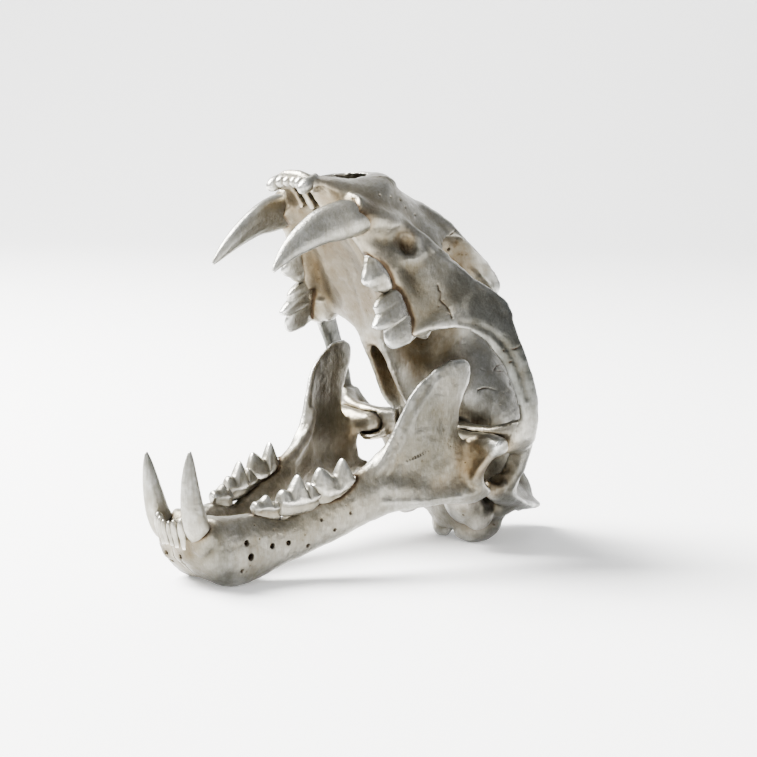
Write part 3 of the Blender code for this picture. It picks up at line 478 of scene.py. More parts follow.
# what is open in it
openings = {
    "nose": {"rows": [
        (0, -4, 18, 9, 14, 8), (0, 6, 20, 10.5, 14, 9), (0, 14, 22, 12.5, 14, 10.5),
        (0, 24, 24.5, 14, 13, 12), (0, 35, 27, 13.5, 13, 13), (0, 48, 30, 10.5, 12, 11),
        (0, 56, 31, 6, 8, 8),
    ]},
    "innerNose": {"rows": [
        (0, 102, 17, 3.4, 4, 5), (0, 106.5, 13, 4.3, 8, 12), (0, 112, 10, 4.9, 12, 14),
        (0, 121, 8, 5.1, 13, 14), (0, 134, 6, 5.5, 11, 14), (0, 146, 4, 5.6, 8, 14),
    ], "power": 2.6},
    "mouthRoof": {"rows": [
        (0, 26, 3.5, 13, 5, 7), (0, 40, 3.5, 17, 6.5, 7), (0, 56, 3.5, 21, 8, 7), (0, 72, 3.5, 24, 8.5, 7),
        (0, 86, 3.5, 26, 7.9, 7), (0, 97, 3.5, 26, 5.8, 7), (0, 107, 3.5, 26, 4.4, 7),
    ], "power": 2.4},
    "spinalHole": {"rows": [(0, 190, 24, 8, 7), (0, 205, 22, 9.5, 8), (0, 225, 21, 11, 9.5)]},
    "eyeSocket": {"rows": [
        (15.5, 86, 55, 3, 3), (18.5, 85.5, 54.5, 13, 8), (22, 85, 54, 17, 11), (28, 84.8, 54.6, 19.5, 13),
        (35, 86.5, 57.5, 20.5, 15), (44, 91, 62.5, 21.5, 17.4), (56, 97, 70, 22.5, 22.2),
        (70, 104, 79, 24, 30),
    ], "power": 2.3, "paired": True},
    "cheekHole": {"ball": (35.4, 52.6, 24.4), "radii": (4.2, 5.2, 4.6), "paired": True},
    "palateSlot": {"rows": [
        (3.6, 13, 8, 1.8, 8), (4.2, 22, 8, 2.4, 8), (4.6, 30, 8, 1.6, 8),
    ], "paired": True},
    "earHole": {"rows": [(27, 170, 19, 3.2, 3.2), (46, 176, 19, 4.2, 4.2)], "paired": True},
}
# one half of the lower jaw, on the animal's left
jaw = {
    "body": {"rows": [
        (4.5, -4, -9.5, 5, 3.5, 4), (6, -1, -11, 7.5, 6, 7), (7.5, 2, -13, 9.5, 9, 8.6),
        (8.8, 5.5, -15, 11, 13, 11.2), (10, 10, -16.5, 11.3, 16.3, 14.3),
        (11.5, 16, -17.5, 10.5, 16.2, 16.2), (13, 22, -18, 9.2, 16, 16.1), (14.8, 30, -17.5, 8, 15.3, 15.3),
        (18, 44, -17.5, 6.6, 11, 11), (21.5, 57, -14, 6.6, 11.5, 10.8), (25, 70, -9.5, 6.8, 11.5, 11.3),
        (28.8, 82, -5.5, 6.2, 10.5, 11), (32.6, 95, -3.5, 5.4, 9, 9.6), (37.6, 110, -5.5, 4.6, 7.5, 6.5),
        (41.4, 125, -7.5, 4.2, 6, 5), (44, 138, -10, 3.8, 4.5, 4.4), (45.5, 149, -10.5, 2.2, 2.2, 1.8),
    ], "power": 2.4},
    "chin": {"rows": [
        (4, -3, -13, 7, 5, 6), (4, 5, -16, 8, 8, 11), (4, 15, -20, 8, 10, 13), (4, 25, -24, 8, 8, 9.5),
        (4, 34, -27, 7, 4, 5),
    ]},
    "ramus": {"rows": [
        (0, 118, -12, 2.6, 26, 22), (0, 116, -4, 2.8, 27, 30), (0, 115, 4, 2.8, 26.5, 27),
        (0, 116, 12, 2.6, 23.5, 21.5), (0, 116.5, 20, 2.4, 17.5, 17), (0, 118.5, 28, 2.2, 16, 15.3),
        (0, 121, 36, 2.1, 15.3, 14.8), (0, 125, 43, 2.0, 15, 14.5), (0, 129, 49, 1.9, 12.6, 12.5),
        (0, 132, 53.3, 1.7, 9, 8.5), (0, 133.5, 55.6, 1.2, 4.5, 4.5),
    ], "along": "u", "bend": [
        (80, 28.5), (90, 30.8), (98, 32.3), (104, 35), (110, 38), (116, 40), (127, 42.5), (140, 43.8),
        (150, 45),
    ]},
    "frontRidge": {"rows": [
        (29.5, 83, 1, 3.4, 4), (31.8, 92.5, 9, 3, 2.8), (33.5, 101.5, 21, 2.6, 2.4), (36, 107, 33, 2.3, 2),
        (39, 113, 44, 1.9, 1.7), (42, 123.5, 52, 1.6, 1.5),
    ], "rise": (1.0, 0.0, 0.0)},
    "backShelf": {"rows": [
        (27.6, 78, 2.5, 3.8, 4.5), (28, 84, 4.6, 3.8, 4.4), (28.6, 90, 8.4, 3.6, 3.6),
        (29.6, 96.5, 13, 3.2, 3.2), (31, 102.5, 19, 2.6, 2.8), (33, 106.5, 27, 2, 2.2),
    ], "power": 2.4},
    "neck": {"rows": [
        (46.3, 145.5, -9, 2.2, 3, 4), (46.8, 140.5, -4, 3.4, 3, 4.5), (47.5, 138.8, 1, 5.2, 3.2, 4.4),
        (48.6, 139.4, 7, 8.6, 3.4, 3.8), (49.8, 140.6, 12, 13, 3.2, 3.4), (50.5, 141.2, 16.5, 13.5, 2.8, 3),
    ], "along": "u"},
    "condyle": {"rows": [
        (27.5, 144.4, 13, 2.8, 2.8), (30, 144, 13.4, 4.4, 4.4), (40, 142.5, 14, 5, 5),
        (50, 141.6, 14.8, 5, 5), (61, 141.2, 15.3, 4.9, 4.9), (65.5, 141.4, 15.6, 3.4, 3.4),
    ]},
}
jawSocket = {"ball": (15.3, 4, -9), "radii": (6.0, 6.8, 8.0)}
# the right lower canine stands back and deeper in its socket, its tip forward: x, b, u, tip
rightLean = (-1.0, 3.0, -4.4, -5.0)

upperCanine = {"rows": [
    (24.5, 38, 22, 4, 5), (26.4, 31.4, 12, 6.8, 7.8), (26.6, 28.8, 6, 7.6, 8.8), (25.4, 26.8, -1, 6.4, 9),
    (24, 25.2, -9, 5, 8.1), (23.3, 25.1, -16.5, 4.4, 6.9), (22.6, 25.6, -24, 3.8, 5.5),
    (22.3, 27, -32, 2.9, 3.7), (22.6, 28.9, -38.5, 1.7, 1.9), (22.9, 30.2, -42, 0.7, 0.7),
], "turn": (0.42, 0.91, 0)}
lowerCanine = {"rows": [
    (11.8, 8.5, -18, 2.6, 3.6), (13.8, 4.2, -9, 3.8, 4.6), (15.3, 0.6, -3, 5.2, 5.9),
    (15.7, -1.2, 3, 5, 5.6), (15.7, -2.1, 13, 4.2, 4.7), (15.8, -2.1, 22, 3.1, 3.4),
    (16.1, -1.7, 29, 1.7, 1.9), (16.3, -1.4, 32.6, 0.7, 0.7),
]}
# incisors: x, b, half width, height
upperIncisors = [(2.4, 8.2, 2.2, 5.0), (6.8, 8.4, 2.5, 5.8), (11.4, 9.3, 3.0, 8.2)]
lowerIncisors = [(2.0, -4.4, 1.6, 7.6), (5.2, -3.9, 1.9, 8.6), (8.8, -2.4, 2.3, 9.6)]
# cheek teeth: crown edge from front to back as x, b, tip, half width, over its own gum line
upperCheekTeeth = [
    [(28, 47.9, 5.5, 1.6), (28.2, 49.4, 3, 2.6), (28.8, 52, 0.6, 3.4), (29.6, 54.6, -2.4, 3.9),
     (30.2, 56.8, -4, 4.1), (30.4, 59.6, -2.6, 4.1), (30.6, 62, -0.2, 3.8), (30.8, 64.4, 1, 3.5),
     (31, 66, 2.6, 2.8), (31, 67, 5.4, 1.8)],
    [(31.4, 66.8, 4, 2), (32, 68, -2.4, 3.2), (32.4, 69.8, -4.9, 3.9), (33.1, 72.1, -4.9, 4.2),
     (34, 74, -8, 4.4), (34.8, 76.2, -11, 4.4), (35.5, 78.4, -9, 4.2), (36.2, 80, -6.4, 4),
     (37, 82, -8, 3.8), (37.8, 85.4, -9.2, 3.6), (38.4, 88.3, -8.4, 3.2), (38.9, 89.8, -5.4, 2.6),
     (39.2, 90.5, -1, 1.8)],
]
lowerCheekTeeth = [
    [(16, 30.9, 0.5, 1.8), (16.2, 32, 3, 2.8), (16.4, 34.8, 3, 3.2), (16.8, 38.6, 5.3, 3.3),
     (17.4, 40.5, 1.4, 3.2), (18, 42.4, 1.8, 2.9), (18.4, 44, -1.2, 2)],
    [(20.2, 42.2, 2, 2), (20.6, 43, 5.6, 3), (20.9, 44.8, 7.2, 3.5), (21.5, 47.2, 6, 3.9),
     (21.9, 49.8, 9.2, 4.1), (22.3, 52.7, 12.8, 4.1), (22.9, 54.6, 8.2, 4.1), (23.4, 55.8, 5.4, 4),
     (23.8, 57.6, 8.5, 3.9), (24, 59.8, 6.2, 3.7), (24.2, 61.6, 4.6, 3.2), (24.4, 62.8, 1.5, 2)],
    [(24.6, 58.8, 6, 1.6), (25, 60.6, 11.4, 3), (25.5, 63, 14.5, 3.7), (26, 66.4, 12.4, 4.1),
     (26.4, 68.9, 9.8, 4.1), (26.8, 70, 9.4, 4.1), (27.1, 72, 12.8, 4.1), (27.6, 75.1, 17, 3.9),
     (28.2, 77, 13.4, 3.4), (28.8, 79, 7.6, 2.4), (29, 79.8, 4, 1.4)],
]
# their gum lines as b, u
upperGums = [
    [(47.7, 5.0), (50.4, 8.0), (54.9, 7.3), (59.5, 8.0), (66.9, 8.3)],
    [(66.8, 8.6), (70.6, 9.4), (72.7, 8.3), (77.5, 7.0), (81.2, 6.6), (84.7, 4.9), (88.2, 4.2), (90.0, 1.5)],
]
lowerGums = [
    [(30.9, -0.6), (36.0, -0.8), (40.0, -1.8), (44.0, -1.6)],
    [(42.2, 1.2), (45.0, 0.2), (52.0, 0.0), (58.0, 0.2), (62.8, 1.6)],
    [(58.8, 7.0), (59.4, 5.7), (61.9, 3.0), (64.8, 1.6), (70.0, 1.9), (75.2, 4.1), (78.7, 5.7), (79.8, 7.5)],
]

# worked detail on both sides: width, push and a chain of points x, b, u in mm; each ridge (push
# above 0) or groove is pushed along the surface by a bell curve of the distance to its chain
skullDetail = {
    "canineRim": (1.4, 0.4, [
        (26.2, 16.6, 7.6), (28, 22.8, 12.2), (28.4, 29, 13), (28, 34.2, 11), (27.5, 37.6, 6.4),
        (27, 37.6, 1.4)]),
    "cheekHoleDish": (5.0, -1.3, [(32.5, 46.5, 24), (33.5, 51, 26.5)]),
    "cheekHoleRim": (2.0, 0.9, [
        (34, 52.6, 17.6), (35, 57.2, 19.5), (36, 59.6, 24.6), (36.2, 58.6, 29.5), (34.8, 53.6, 32)]),
    "cheekHollow": (5.5, -1.1, [(37.5, 66, 20), (40, 71, 18)]),
    "cheekSwell": (7.0, 0.5, [(46, 80, 29), (52, 87.4, 30)]),
    "cheekboneRim": (1.6, 0.55, [
        (36.8, 58.8, 34), (41.7, 69.2, 38), (46.7, 79.1, 42.1), (55.6, 87, 44.6), (62, 93, 44.6)]),
    "cheekKnob": (2.2, 1.1, [(64.2, 95.5, 42.6), (64.6, 97.5, 42)]),
    "archRim": (1.3, 0.75, [
        (42.6, 90.7, 8.6), (50.2, 89.4, 12.9), (54.7, 90.3, 17.6), (58.4, 93, 21.8), (61.6, 98.4, 24.6),
        (64.6, 106.6, 27), (66.8, 116.6, 28.2), (67.9, 126, 28), (67.6, 136, 27.8)]),
    "archGroove": (1.7, -0.95, [
        (56.6, 90, 21.4), (60.4, 92.8, 25.4), (64.6, 97.8, 28.8), (68, 104.6, 31), (70.2, 113.3, 32),
        (71.2, 124.1, 31.8), (71.2, 134.3, 30.6)]),
    "toothRowRim": (1.3, 0.5, [
        (31.3, 47.8, 6), (32.6, 51.4, 7.6), (34.2, 56, 6.3), (34.8, 61.4, 6.4), (34.4, 66.4, 8.2),
        (36.2, 70, 8.2), (38.5, 75, 7.2), (40.4, 81, 6), (41.6, 87.6, 4.4)]),
    "lastToothPad": (2.6, 0.6, [(41, 90, 5), (43.4, 90, 9)]),
    "tearHollow": (3.4, -1.0, [(27.5, 66, 48.5), (24, 68, 54)]),
    "noseEdge": (1.6, 0.6, [(15, 21, 33.5), (17.5, 25, 37.5), (19, 30, 41.5)]),
    "wallBulge": (9.0, 0.5, [(32, 146, 47), (34, 158, 46)]),
    "wallHollow": (7.0, -0.9, [(22, 118, 36), (25, 128, 34)]),
    "templeLine": (1.4, 0.6, [(29, 98, 70), (20, 112, 68), (11, 126, 68), (4, 140, 69)]),
    "neckLip": (2.2, 0.6, [
        (66.5, 153.6, 26), (58, 163, 29.6), (54, 170.9, 29.6), (49, 178, 28), (44, 186, 23)]),
    "mastoidSlot": (2.4, -0.9, [(44, 170, 22), (43, 178, 17)]),
    "underGroove": (1.6, -0.8, [(30, 188, 2), (28, 193, 9), (26, 199, 18)]),
    "palateRidge": (1.6, 0.35, [(0, 34, 12), (0, 60, 14), (0, 90, 11)]),
}
jawDetail = {
    "chewingHollow": (10.0, -1.3, [(42, 112, 8), (45, 122, 14), (46, 124, 26)]),
    "chewingFloor": (6.0, -1.0, [(44, 118, -2), (47, 132, -1)]),
    "frontEdge": (1.7, 0.7, [
        (33.6, 92.5, 4), (35.4, 98.6, 12), (37.4, 104.6, 22), (39.4, 109, 31), (41.6, 114.8, 40),
        (43.4, 121.5, 47.6)]),
    "lowerCrest": (1.9, 0.8, [
        (37, 91.3, -6), (39.6, 98.9, -7.4), (42.9, 113.8, -9.6), (46.4, 129.6, -9.6), (48.4, 140.6, -8.4)]),
    "neckRidge": (2.0, 0.9, [
        (65, 138.6, 17), (61, 137.3, 11.6), (56.3, 137, 6.5), (50.6, 135.6, -0.6), (47, 133, -6)]),
    "neckHollow": (4.0, -1.1, [(53, 133, 9), (49, 130, 2)]),
    "gumEdge": (1.3, 0.55, [
        (17, 22.9, -1.5), (19, 34.7, -3.1), (21, 41.5, -6), (23, 46.2, -4.6), (24.5, 49, -2.5),
        (26.5, 58.4, -2.5), (28.5, 64.4, 0.5), (30, 69.1, 0.8), (31.4, 76, 4.2), (30.5, 80.5, 8)]),
    "rootPitFront": (1.3, -0.9, [(20.6, 37.6, -1.6), (20.9, 38.2, -3)]),
    "rootPitMiddle": (1.5, -0.9, [(24.6, 51.5, 0.4), (24.9, 51.8, -1.2)]),
    "rootPitBack": (1.3, -0.7, [(28.4, 68.6, 2.6), (28.6, 68.8, 1.2)]),
    "chinSwell": (7.0, 0.5, [(17, 12, -22), (21, 24, -22)]),
    "canineRing": (1.6, 0.6, [(9.6, 0, -6), (11, 8, -2.4), (17, 11.4, -1), (21.6, 6, -3), (21, -2, -7)]),
}
# small round holes on both sides: x, b, u, radius, depth
skullHoles = [
    (24.6, 66.2, 49.2, 0.8, 1.6), (17.8, 75.7, 58.3, 0.8, 1.4), (27, 27.2, 24.9, 0.5, 0.8),
    (24.7, 36.1, 36.2, 0.5, 0.8), (26.2, 31.5, 30.5, 0.45, 0.8), (24.1, 47, 41.8, 0.5, 0.8),
    (25.6, 40.5, 37.2, 0.45, 0.7), (40.8, 71.6, 32, 0.4, 0.7), (46, 81, 18.6, 0.5, 0.8),
]
jawHoles = [
    (22, 22.3, -13, 1.2, 2.4), (22.2, 23.8, -19.8, 1.5, 3), (23.4, 35.6, -17.1, 1.1, 2.2),
    (24.6, 43.8, -17.2, 0.9, 2), (21.3, 19, -25.5, 0.8, 1.4), (26.4, 53.2, -20.3, 0.7, 1.2),
    (28.8, 60.2, -9.1, 0.5, 1), (30.4, 66.2, -14.8, 0.5, 0.9), (5.3, -3, -17, 1, 2), (4.4, -1, -20.9, 1, 2),
    (3.6, 8.2, -29.2, 0.8, 1.6), (14, 4, -26, 0.6, 1), (33, 74, -8, 0.45, 0.8),
]
# thin cracks and joint lines, on the near side only
skullCracks = {
    "canineRim": [
        (26.2, 17.7, 7.2), (28, 23.8, 11.1), (28.4, 28.9, 11.9), (28, 33.2, 10.1), (27.4, 36.2, 6),
        (27, 36.3, 1.6)],
    "nose": [(17.2, 23.9, 35.4), (17.8, 25.4, 37.4), (20.6, 27.9, 37.6), (23, 30.4, 38.4)],
    "tear": [(27.6, 65.9, 48.4), (24.6, 67, 53), (22.9, 67.2, 57.8), (22.7, 66.3, 62)],
    "tearTwo": [(19.8, 71.6, 57.4), (18.2, 73.4, 58.4), (17.4, 75.7, 58.5)],
    "cheek": [
        (43, 74.1, 26.1), (43.8, 76, 25), (44.3, 77.2, 25.4), (44.9, 79.9, 22.8), (47.4, 83, 23),
        (50.5, 85.1, 21.6), (53, 86.9, 19.6)],
    "archOne": [(65.4, 109, 27.6), (68.7, 108.4, 30), (70.5, 110.3, 34.3), (70.3, 110.7, 38.6)],
    "archTwo": [(66.2, 114.6, 28.6), (69.4, 114.8, 29.9), (70.7, 115.1, 32.5)],
    "wallOne": [
        (26.5, 133.8, 44.8), (27.2, 135.4, 46.6), (27.8, 137, 48.5), (27.4, 138.8, 51.8), (27, 140.6, 55.1),
        (23.4, 146.4, 62)],
    "wallTwo": [(28.1, 138, 49.2), (27, 137.6, 52.4), (25.8, 138, 55.3), (22.1, 141.4, 62)],
    "wallThree": [
        (28.9, 140.2, 37.1), (29.8, 140.6, 39.8), (30.4, 141.8, 42), (31.6, 145.6, 45.6),
        (31.4, 147.7, 50.8), (31.7, 153.1, 53.1), (31.4, 157.8, 55)],
    "wallFour": [(24.2, 146.4, 61.2), (29, 148.7, 56.6), (32, 149, 50.2)],
    "back": [(28.1, 190.8, 3), (25, 200, 12), (21.6, 211.9, 23.4)],
}
jawCracks = {
    "chin": [(5.3, -3, -17), (4.9, -1.9, -19.4), (4.4, -1, -20.9), (4, 3, -25), (3.6, 8.2, -29.2)],
}
# row of plain punch dots inside the jaw hollow, between two points
punch = {"from": (38.2, 105.5, 11.4), "to": (43.0, 118.2, 15.4), "count": 11, "radius": 0.55, "depth": 0.8}

# patina by place, the same on both sides: middle x, b, u, reach in x, b, u, strength
skullAge = [
    (10, 60, 10, 26, 40, 12, 0.75), (12, 20, 6, 12, 14, 8, 0.6), (20, 108, 28, 24, 22, 20, 1.0),
    (24, 122, 30, 16, 18, 18, 0.7), (0, 118, 10, 9, 26, 16, 0.95), (20, 84, 56, 16, 18, 14, 0.55),
    (33, 50, 25, 5, 6, 7, 0.85), (50, 155, 18, 18, 9, 9, 0.7), (46, 176, 16, 9, 10, 12, 0.75),
    (20, 175, 10, 22, 24, 12, 0.6), (0, 30, 24, 16, 24, 14, 0.8), (20, 202, 14, 16, 14, 14, 0.35),
    (36, 80, 6, 6, 16, 6, 0.5), (31, 58, 5, 5, 12, 5, 0.5),
]
jawAge = [
    (50, 136, 8, 14, 10, 12, 0.7), (44, 126, -2, 8, 14, 6, 0.35), (28, 84, 6, 5, 8, 6, 0.45),
    (24, 60, -1, 6, 34, 3, 0.35), (10, -3, -12, 10, 5, 8, 0.5),
]
# grey painted shade by place, the same way: the silver darkened in these spots, standing in for shade
skullPaintedShade = [
    (60, 96, 36, 15, 24, 16, 0.9), (68, 122, 34, 8, 34, 12, 0.95), (50, 84, 36, 13, 16, 12, 0.7),
    (24, 146, 42, 24, 40, 26, 0.35), (20, 112, 30, 18, 22, 18, 0.95), (40, 190, 24, 22, 26, 22, 0.75),
    (24, 212, 30, 22, 22, 22, 0.6), (33, 60, 22, 10, 20, 12, 0.4), (10, 62, 10, 26, 46, 13, 0.5),
    (16, 196, 6, 18, 18, 14, 0.5), (0, 212, 64, 34, 30, 24, 0.75), (30, 24, 12, 9, 12, 9, 0.4),
]
jawPaintedShade = [
    (42, 112, 24, 9, 18, 28, 0.6), (14, 4, -20, 16, 16, 18, 0.7), (24, 44, -14, 14, 34, 16, 0.25),
]


def folded(home):
    # both sides laid onto the left one
    return np.concatenate([np.abs(home[:, :1]), home[:, 1:]], axis=1)


def pushed(home, details):
    # bell curve of the distance to each chain of points
    total = np.zeros(len(home))
    for width, push, path in details.values():
        total += push * np.exp(-(reach(home, [(*point, 0.0) for point in path]) / width) ** 2)
    return total


def drilled(home, holes):
    # dishes with a soft edge: how deep each point goes, and how far it lies outside the nearest
    total, best = np.zeros(len(home)), np.full(len(home), 9.0)
    for x, b, u, radius, depth in holes:
        away = np.linalg.norm(home - np.array([x, b, u]), axis=1)
        total = np.minimum(total, -depth * (1 - smooth(away, radius * 0.4, radius + 0.5)))
        best = np.minimum(best, away - radius)
    return total, best


def blobs(home, spots):
    # soft blobs, for patina and for painted shade; the strongest one counts
    total = np.zeros(len(home))
    for *middle, x, b, u, strength in spots:
        away = np.linalg.norm((home - np.array(middle)) / np.array([x, b, u]), axis=1)
        total = np.maximum(total, strength * (1 - smooth(away, 0.55, 1.15)))
    return total


def nearLines(home, chains):
    # distance from every point to the nearest chain, at most 9 mm
    best = np.full(len(home), 9.0)
    for chain in chains.values():
        best = np.minimum(best, reach(home, [(*point, 0.0) for point in chain]))
    return best


def refined(piece, close, rounds=2):
    # cuts the edges near the thin lines and holes in half, so that these can be real grooves
    for step in range(rounds):
        made = bmesh.new()
        made.from_mesh(piece.data)
        made.edges.ensure_lookup_table()
        points = pointsOf(piece.data)
        ends = np.empty(len(piece.data.edges) * 2, dtype=np.int32)
        piece.data.edges.foreach_get("vertices", ends)
        near = close(points) < (2.0 if step == 0 else 1.3)
        wanted = np.flatnonzero(near[ends[0::2]] & near[ends[1::2]])
        bmesh.ops.subdivide_edges(made, edges=[made.edges[i] for i in wanted], cuts=1)
        bmesh.ops.triangulate(made, faces=[face for face in made.faces if len(face.verts) > 3])
        made.to_mesh(piece.data)
        made.free()


def bone(forms, holes, head, name, rooms=()):
    # closed forms melt into one skin, inner corners are filled, openings cut, and it melts again
    piece = melted(gathered(forms, head, name), making["roughVoxel"])
    filled(piece, making["roughFillets"])
    if holes:
        tool = melted(gathered(holes, head, name + "Holes"), making["roughVoxel"])
        carved(piece, tool)
        bpy.data.objects.remove(tool, do_unlink=True)
    for room in rooms:
        carved(piece, room)
    melted(piece, making["voxel"])
    filled(piece, making["fillets"])
    softened(piece, making["softenings"])
    largest(piece)
    print(name, "skinned,", len(piece.data.vertices), "points")
    return piece


def halved(piece, gap=0.00015):
    # what lies past the middle plane is laid onto it
    points = pointsOf(piece.data)
    side = np.sign(points[:, 0].mean())
    points[:, 0] = side * np.maximum(points[:, 0] * side, gap)
    setPoints(piece.data, points)


def leaning(rows, lean):
    # the canine's rows moved by x, b and u, its tip further by a share of its height
    x, b, u, tip = lean
    low, tall = -7.0, 40.0
    return [(row[0] + x, row[1] + b + tip * (row[2] - low) / tall, row[2] + u, *row[3:]) for row in rows]


def jawHalf(name, lean, mirrored):
    # one half of the lower jaw, with the root of its canine moved by the lean
    forms = list(jaw.values())
    x, b, u = jawSocket["ball"]
    forms.append({**jawSocket, "ball": (x + lean[0], b + lean[1], u + lean[2])})
    piece = bone(forms, None, "jaw", name)
    if mirrored:
        setPoints(piece.data, pointsOf(piece.data) * mirror)
        piece.data.flip_normals()
    halved(piece)
    return piece


def gumAt(gum, b):
    # height of the gum line of a tooth, straight between its points b, u
    return np.interp(b, *np.array(gum, dtype=float).T)


def gumPaths(canine, cheekTeeth, gums):
    # what stands in the gum, as chains of rods with the tooth's own radius
    paths = [[(x, b, u, wide) for x, b, u, wide, long in canine]]
    for rows, line in zip(cheekTeeth, gums):
        paths.append([(x, b, gumAt(line, b), wide) for x, b, tip, wide in rows])
    return paths


jawLeft = jawHalf("jawLeft", (0.0, 0.0, 0.0, 0.0), False)
jawRight = jawHalf("jawRight", rightLean, True)
rooms = []
for half in (jawLeft, jawRight):
    room = bpy.data.objects.new("room", half.data.copy())
    bpy.context.scene.collection.objects.link(room)
    setPoints(room.data, pointsOf(room.data) + normalsOf(room.data) * making["jointGap"])
    rooms.append(room)
skull = bone(cranium.values(), openings.values(), "cranium", "skull", rooms)
for room in rooms:
    bpy.data.objects.remove(room, do_unlink=True)


def crown(line, rows, root):
    # tooth crown: half ellipse sections along the row, from its gum line to the edge line,
    # creased where the edge dips, swelling above the gum by a bell curve and narrower below it
    step = 0.4
    run = curve([(x, b, tip, wide) for x, b, tip, wide in rows], step)
    gum = gumAt(line, run[:, 1])
    flip = -1.0 if root > 0 else 1.0
    tall = np.maximum((run[:, 2] - gum) * flip, 0.4)
    count = np.arange(len(run))

    def evenly(width):
        # the edge line's height smoothed along the row
        bell = np.exp(-((count[:, None] - count) * step / width) ** 2)
        return bell @ tall / bell.sum(axis=1)

    crease = np.clip((evenly(2.6) - tall) / 1.8, 0.0, 1.0)
    tall = evenly(1.1)
    ones = np.ones((len(run), 1))
    centre = np.stack([run[:, 0], run[:, 1], gum], axis=1)
    wide = np.maximum(run[:, 3], 0.3)
    grid = rings(centre, ones * np.array([1.0, 0.0, 0.0]), ones * np.array([0.0, 0.0, flip]), wide, tall,
                 np.full(len(run), abs(root)), 2.3, 44)
    high = (grid[..., 2] - gum[:, None]) * flip
    shape = 1.0 + 0.16 * np.exp(-((high - 0.9) / 1.1) ** 2) - 0.24 * smooth(-high, -0.3, 0.9)
    shape *= 1.0 - 0.22 * crease[:, None] * smooth(high, 0.5, 3.0)
    grid[..., 0] = run[:, :1] + (grid[..., 0] - run[:, :1]) * shape
    return grid


def canineGrid(rows, turn=(0.0, 1.0, 0.0)):
    # tapering horn of ellipse sections, with two shallow grooves down its outer side
    grid = sweep({"rows": rows, "rise": turn, "sides": 56, "step": 0.7})
    middle = grid.mean(axis=1, keepdims=True)
    t = np.linspace(0.0, 2 * np.pi, grid.shape[1], endpoint=False)
    length = np.linspace(0.0, 1.0, grid.shape[0])[:, None]
    fade = smooth(length, 0.35, 0.5) * (1 - smooth(length, 0.8, 0.97))
    groove = sum(np.exp(-((t - at) / 0.13) ** 2) for at in (2.6, 3.3))
    return middle + (grid - middle) * (1 - 0.035 * fade * groove)[..., None]


def incisorGrid(x, b, gum, tall, half, lean):
    # chisel crown: widens from its neck and narrows to a blunt edge
    share = np.array([-0.5, -0.2, 0.0, 0.35, 0.7, 0.92, 1.0])
    size = np.array([0.7, 0.78, 0.85, 1.0, 0.85, 0.5, 0.2])
    rows = [(x * (1 + 0.02 * k), b + lean * k, gum + tall * k, half * s, half * 1.1 * s)
            for k, s in zip(share, size)]
    return sweep({"rows": rows, "rise": (0.0, 1.0, 0.0), "sides": 28, "step": 0.5, "power": 2.3})


def bothSides(grids):
    # the left side's grids and their mirror images
    return grids + [grid * mirror for grid in grids]


# every set of teeth: head frame, then its grids on both sides
sets = {
    "upperCanines": ("cranium", bothSides([canineGrid(upperCanine["rows"], upperCanine["turn"])])),
    "lowerCanines": ("jaw", [canineGrid(lowerCanine["rows"]),
                             canineGrid(leaning(lowerCanine["rows"], rightLean)) * mirror]),
    "upperIncisors": ("cranium", bothSides([incisorGrid(x, b, 2.5, -tall, half, 0.4)
                                            for x, b, half, tall in upperIncisors])),
    "lowerIncisors": ("jaw", bothSides([incisorGrid(x, b, -8.0, tall, half, -1.2)
                                        for x, b, half, tall in lowerIncisors])),
    "upperCheekTeeth": ("cranium", bothSides([crown(line, rows, 6.0)
                                              for rows, line in zip(upperCheekTeeth, upperGums)])),
    "lowerCheekTeeth": ("jaw", bothSides([crown(line, rows, -6.0)
                                          for rows, line in zip(lowerCheekTeeth, lowerGums)])),
}
pieces = {name: skinned(grids, head, name) for name, (head, grids) in sets.items()}
print("teeth made")


def mark(piece, name, values):
    # one value at every point, which the materials read by its name
    layer = piece.data.attributes.new(name, "FLOAT", "POINT")
    layer.data.foreach_set("value", np.asarray(values, dtype=np.float32))


def crowding(points, weights, sigma, cell):
    # surface gathered in a grid of cells and blurred by a bell curve: how much surface stands
    # near each cell (1 for one flat sheet) and where its middle lies
    low = points.min(0) - 3 * sigma
    shape = np.ceil((points.max(0) + 3 * sigma - low) / cell).astype(int)
    index = np.ravel_multi_index(((points - low) / cell).astype(int).T, shape)
    freq = np.meshgrid(np.fft.fftfreq(shape[0]), np.fft.fftfreq(shape[1]), np.fft.rfftfreq(shape[2]),
                       indexing="ij")
    gain = np.exp(-2 * (np.pi * sigma / cell) ** 2 * sum(f * f for f in freq))

    def blurred(values):
        field = np.bincount(index, values, int(shape.prod())).reshape(shape)
        return np.fft.irfftn(np.fft.rfftn(field) * gain, s=tuple(shape), axes=(0, 1, 2))

    mass = blurred(weights)
    middle = [blurred(weights * points[:, k]) / np.maximum(mass, 1e-9) for k in range(3)]
    return low, shape, mass / cell**3 * math.sqrt(2 * math.pi) * sigma, middle


def sampled(points, field, low, shape, cell):
    # value at each point, blended from the eight cells around it
    at = (points - low) / cell - 0.5
    base = np.clip(np.floor(at).astype(int), 0, np.array(shape) - 2)
    part = np.clip(at - base, 0.0, 1.0)
    total = np.zeros(len(points))
    for corner in np.ndindex(2, 2, 2):
        weight = np.prod(np.where(corner, part, 1 - part), axis=1)
        total += weight * field[tuple((base + corner).T)]
    return total


def shares(mesh):
    # each point's share of the surface, in square mm
    areas = np.empty(len(mesh.polygons))
    mesh.polygons.foreach_get("area", areas)
    totals = np.empty(len(mesh.polygons), dtype=np.int32)
    mesh.polygons.foreach_get("loop_total", totals)
    corners = np.empty(len(mesh.loops), dtype=np.int32)
    mesh.loops.foreach_get("vertex_index", corners)
    return np.bincount(corners, np.repeat(areas / totals, totals), len(mesh.vertices)) * 1e6


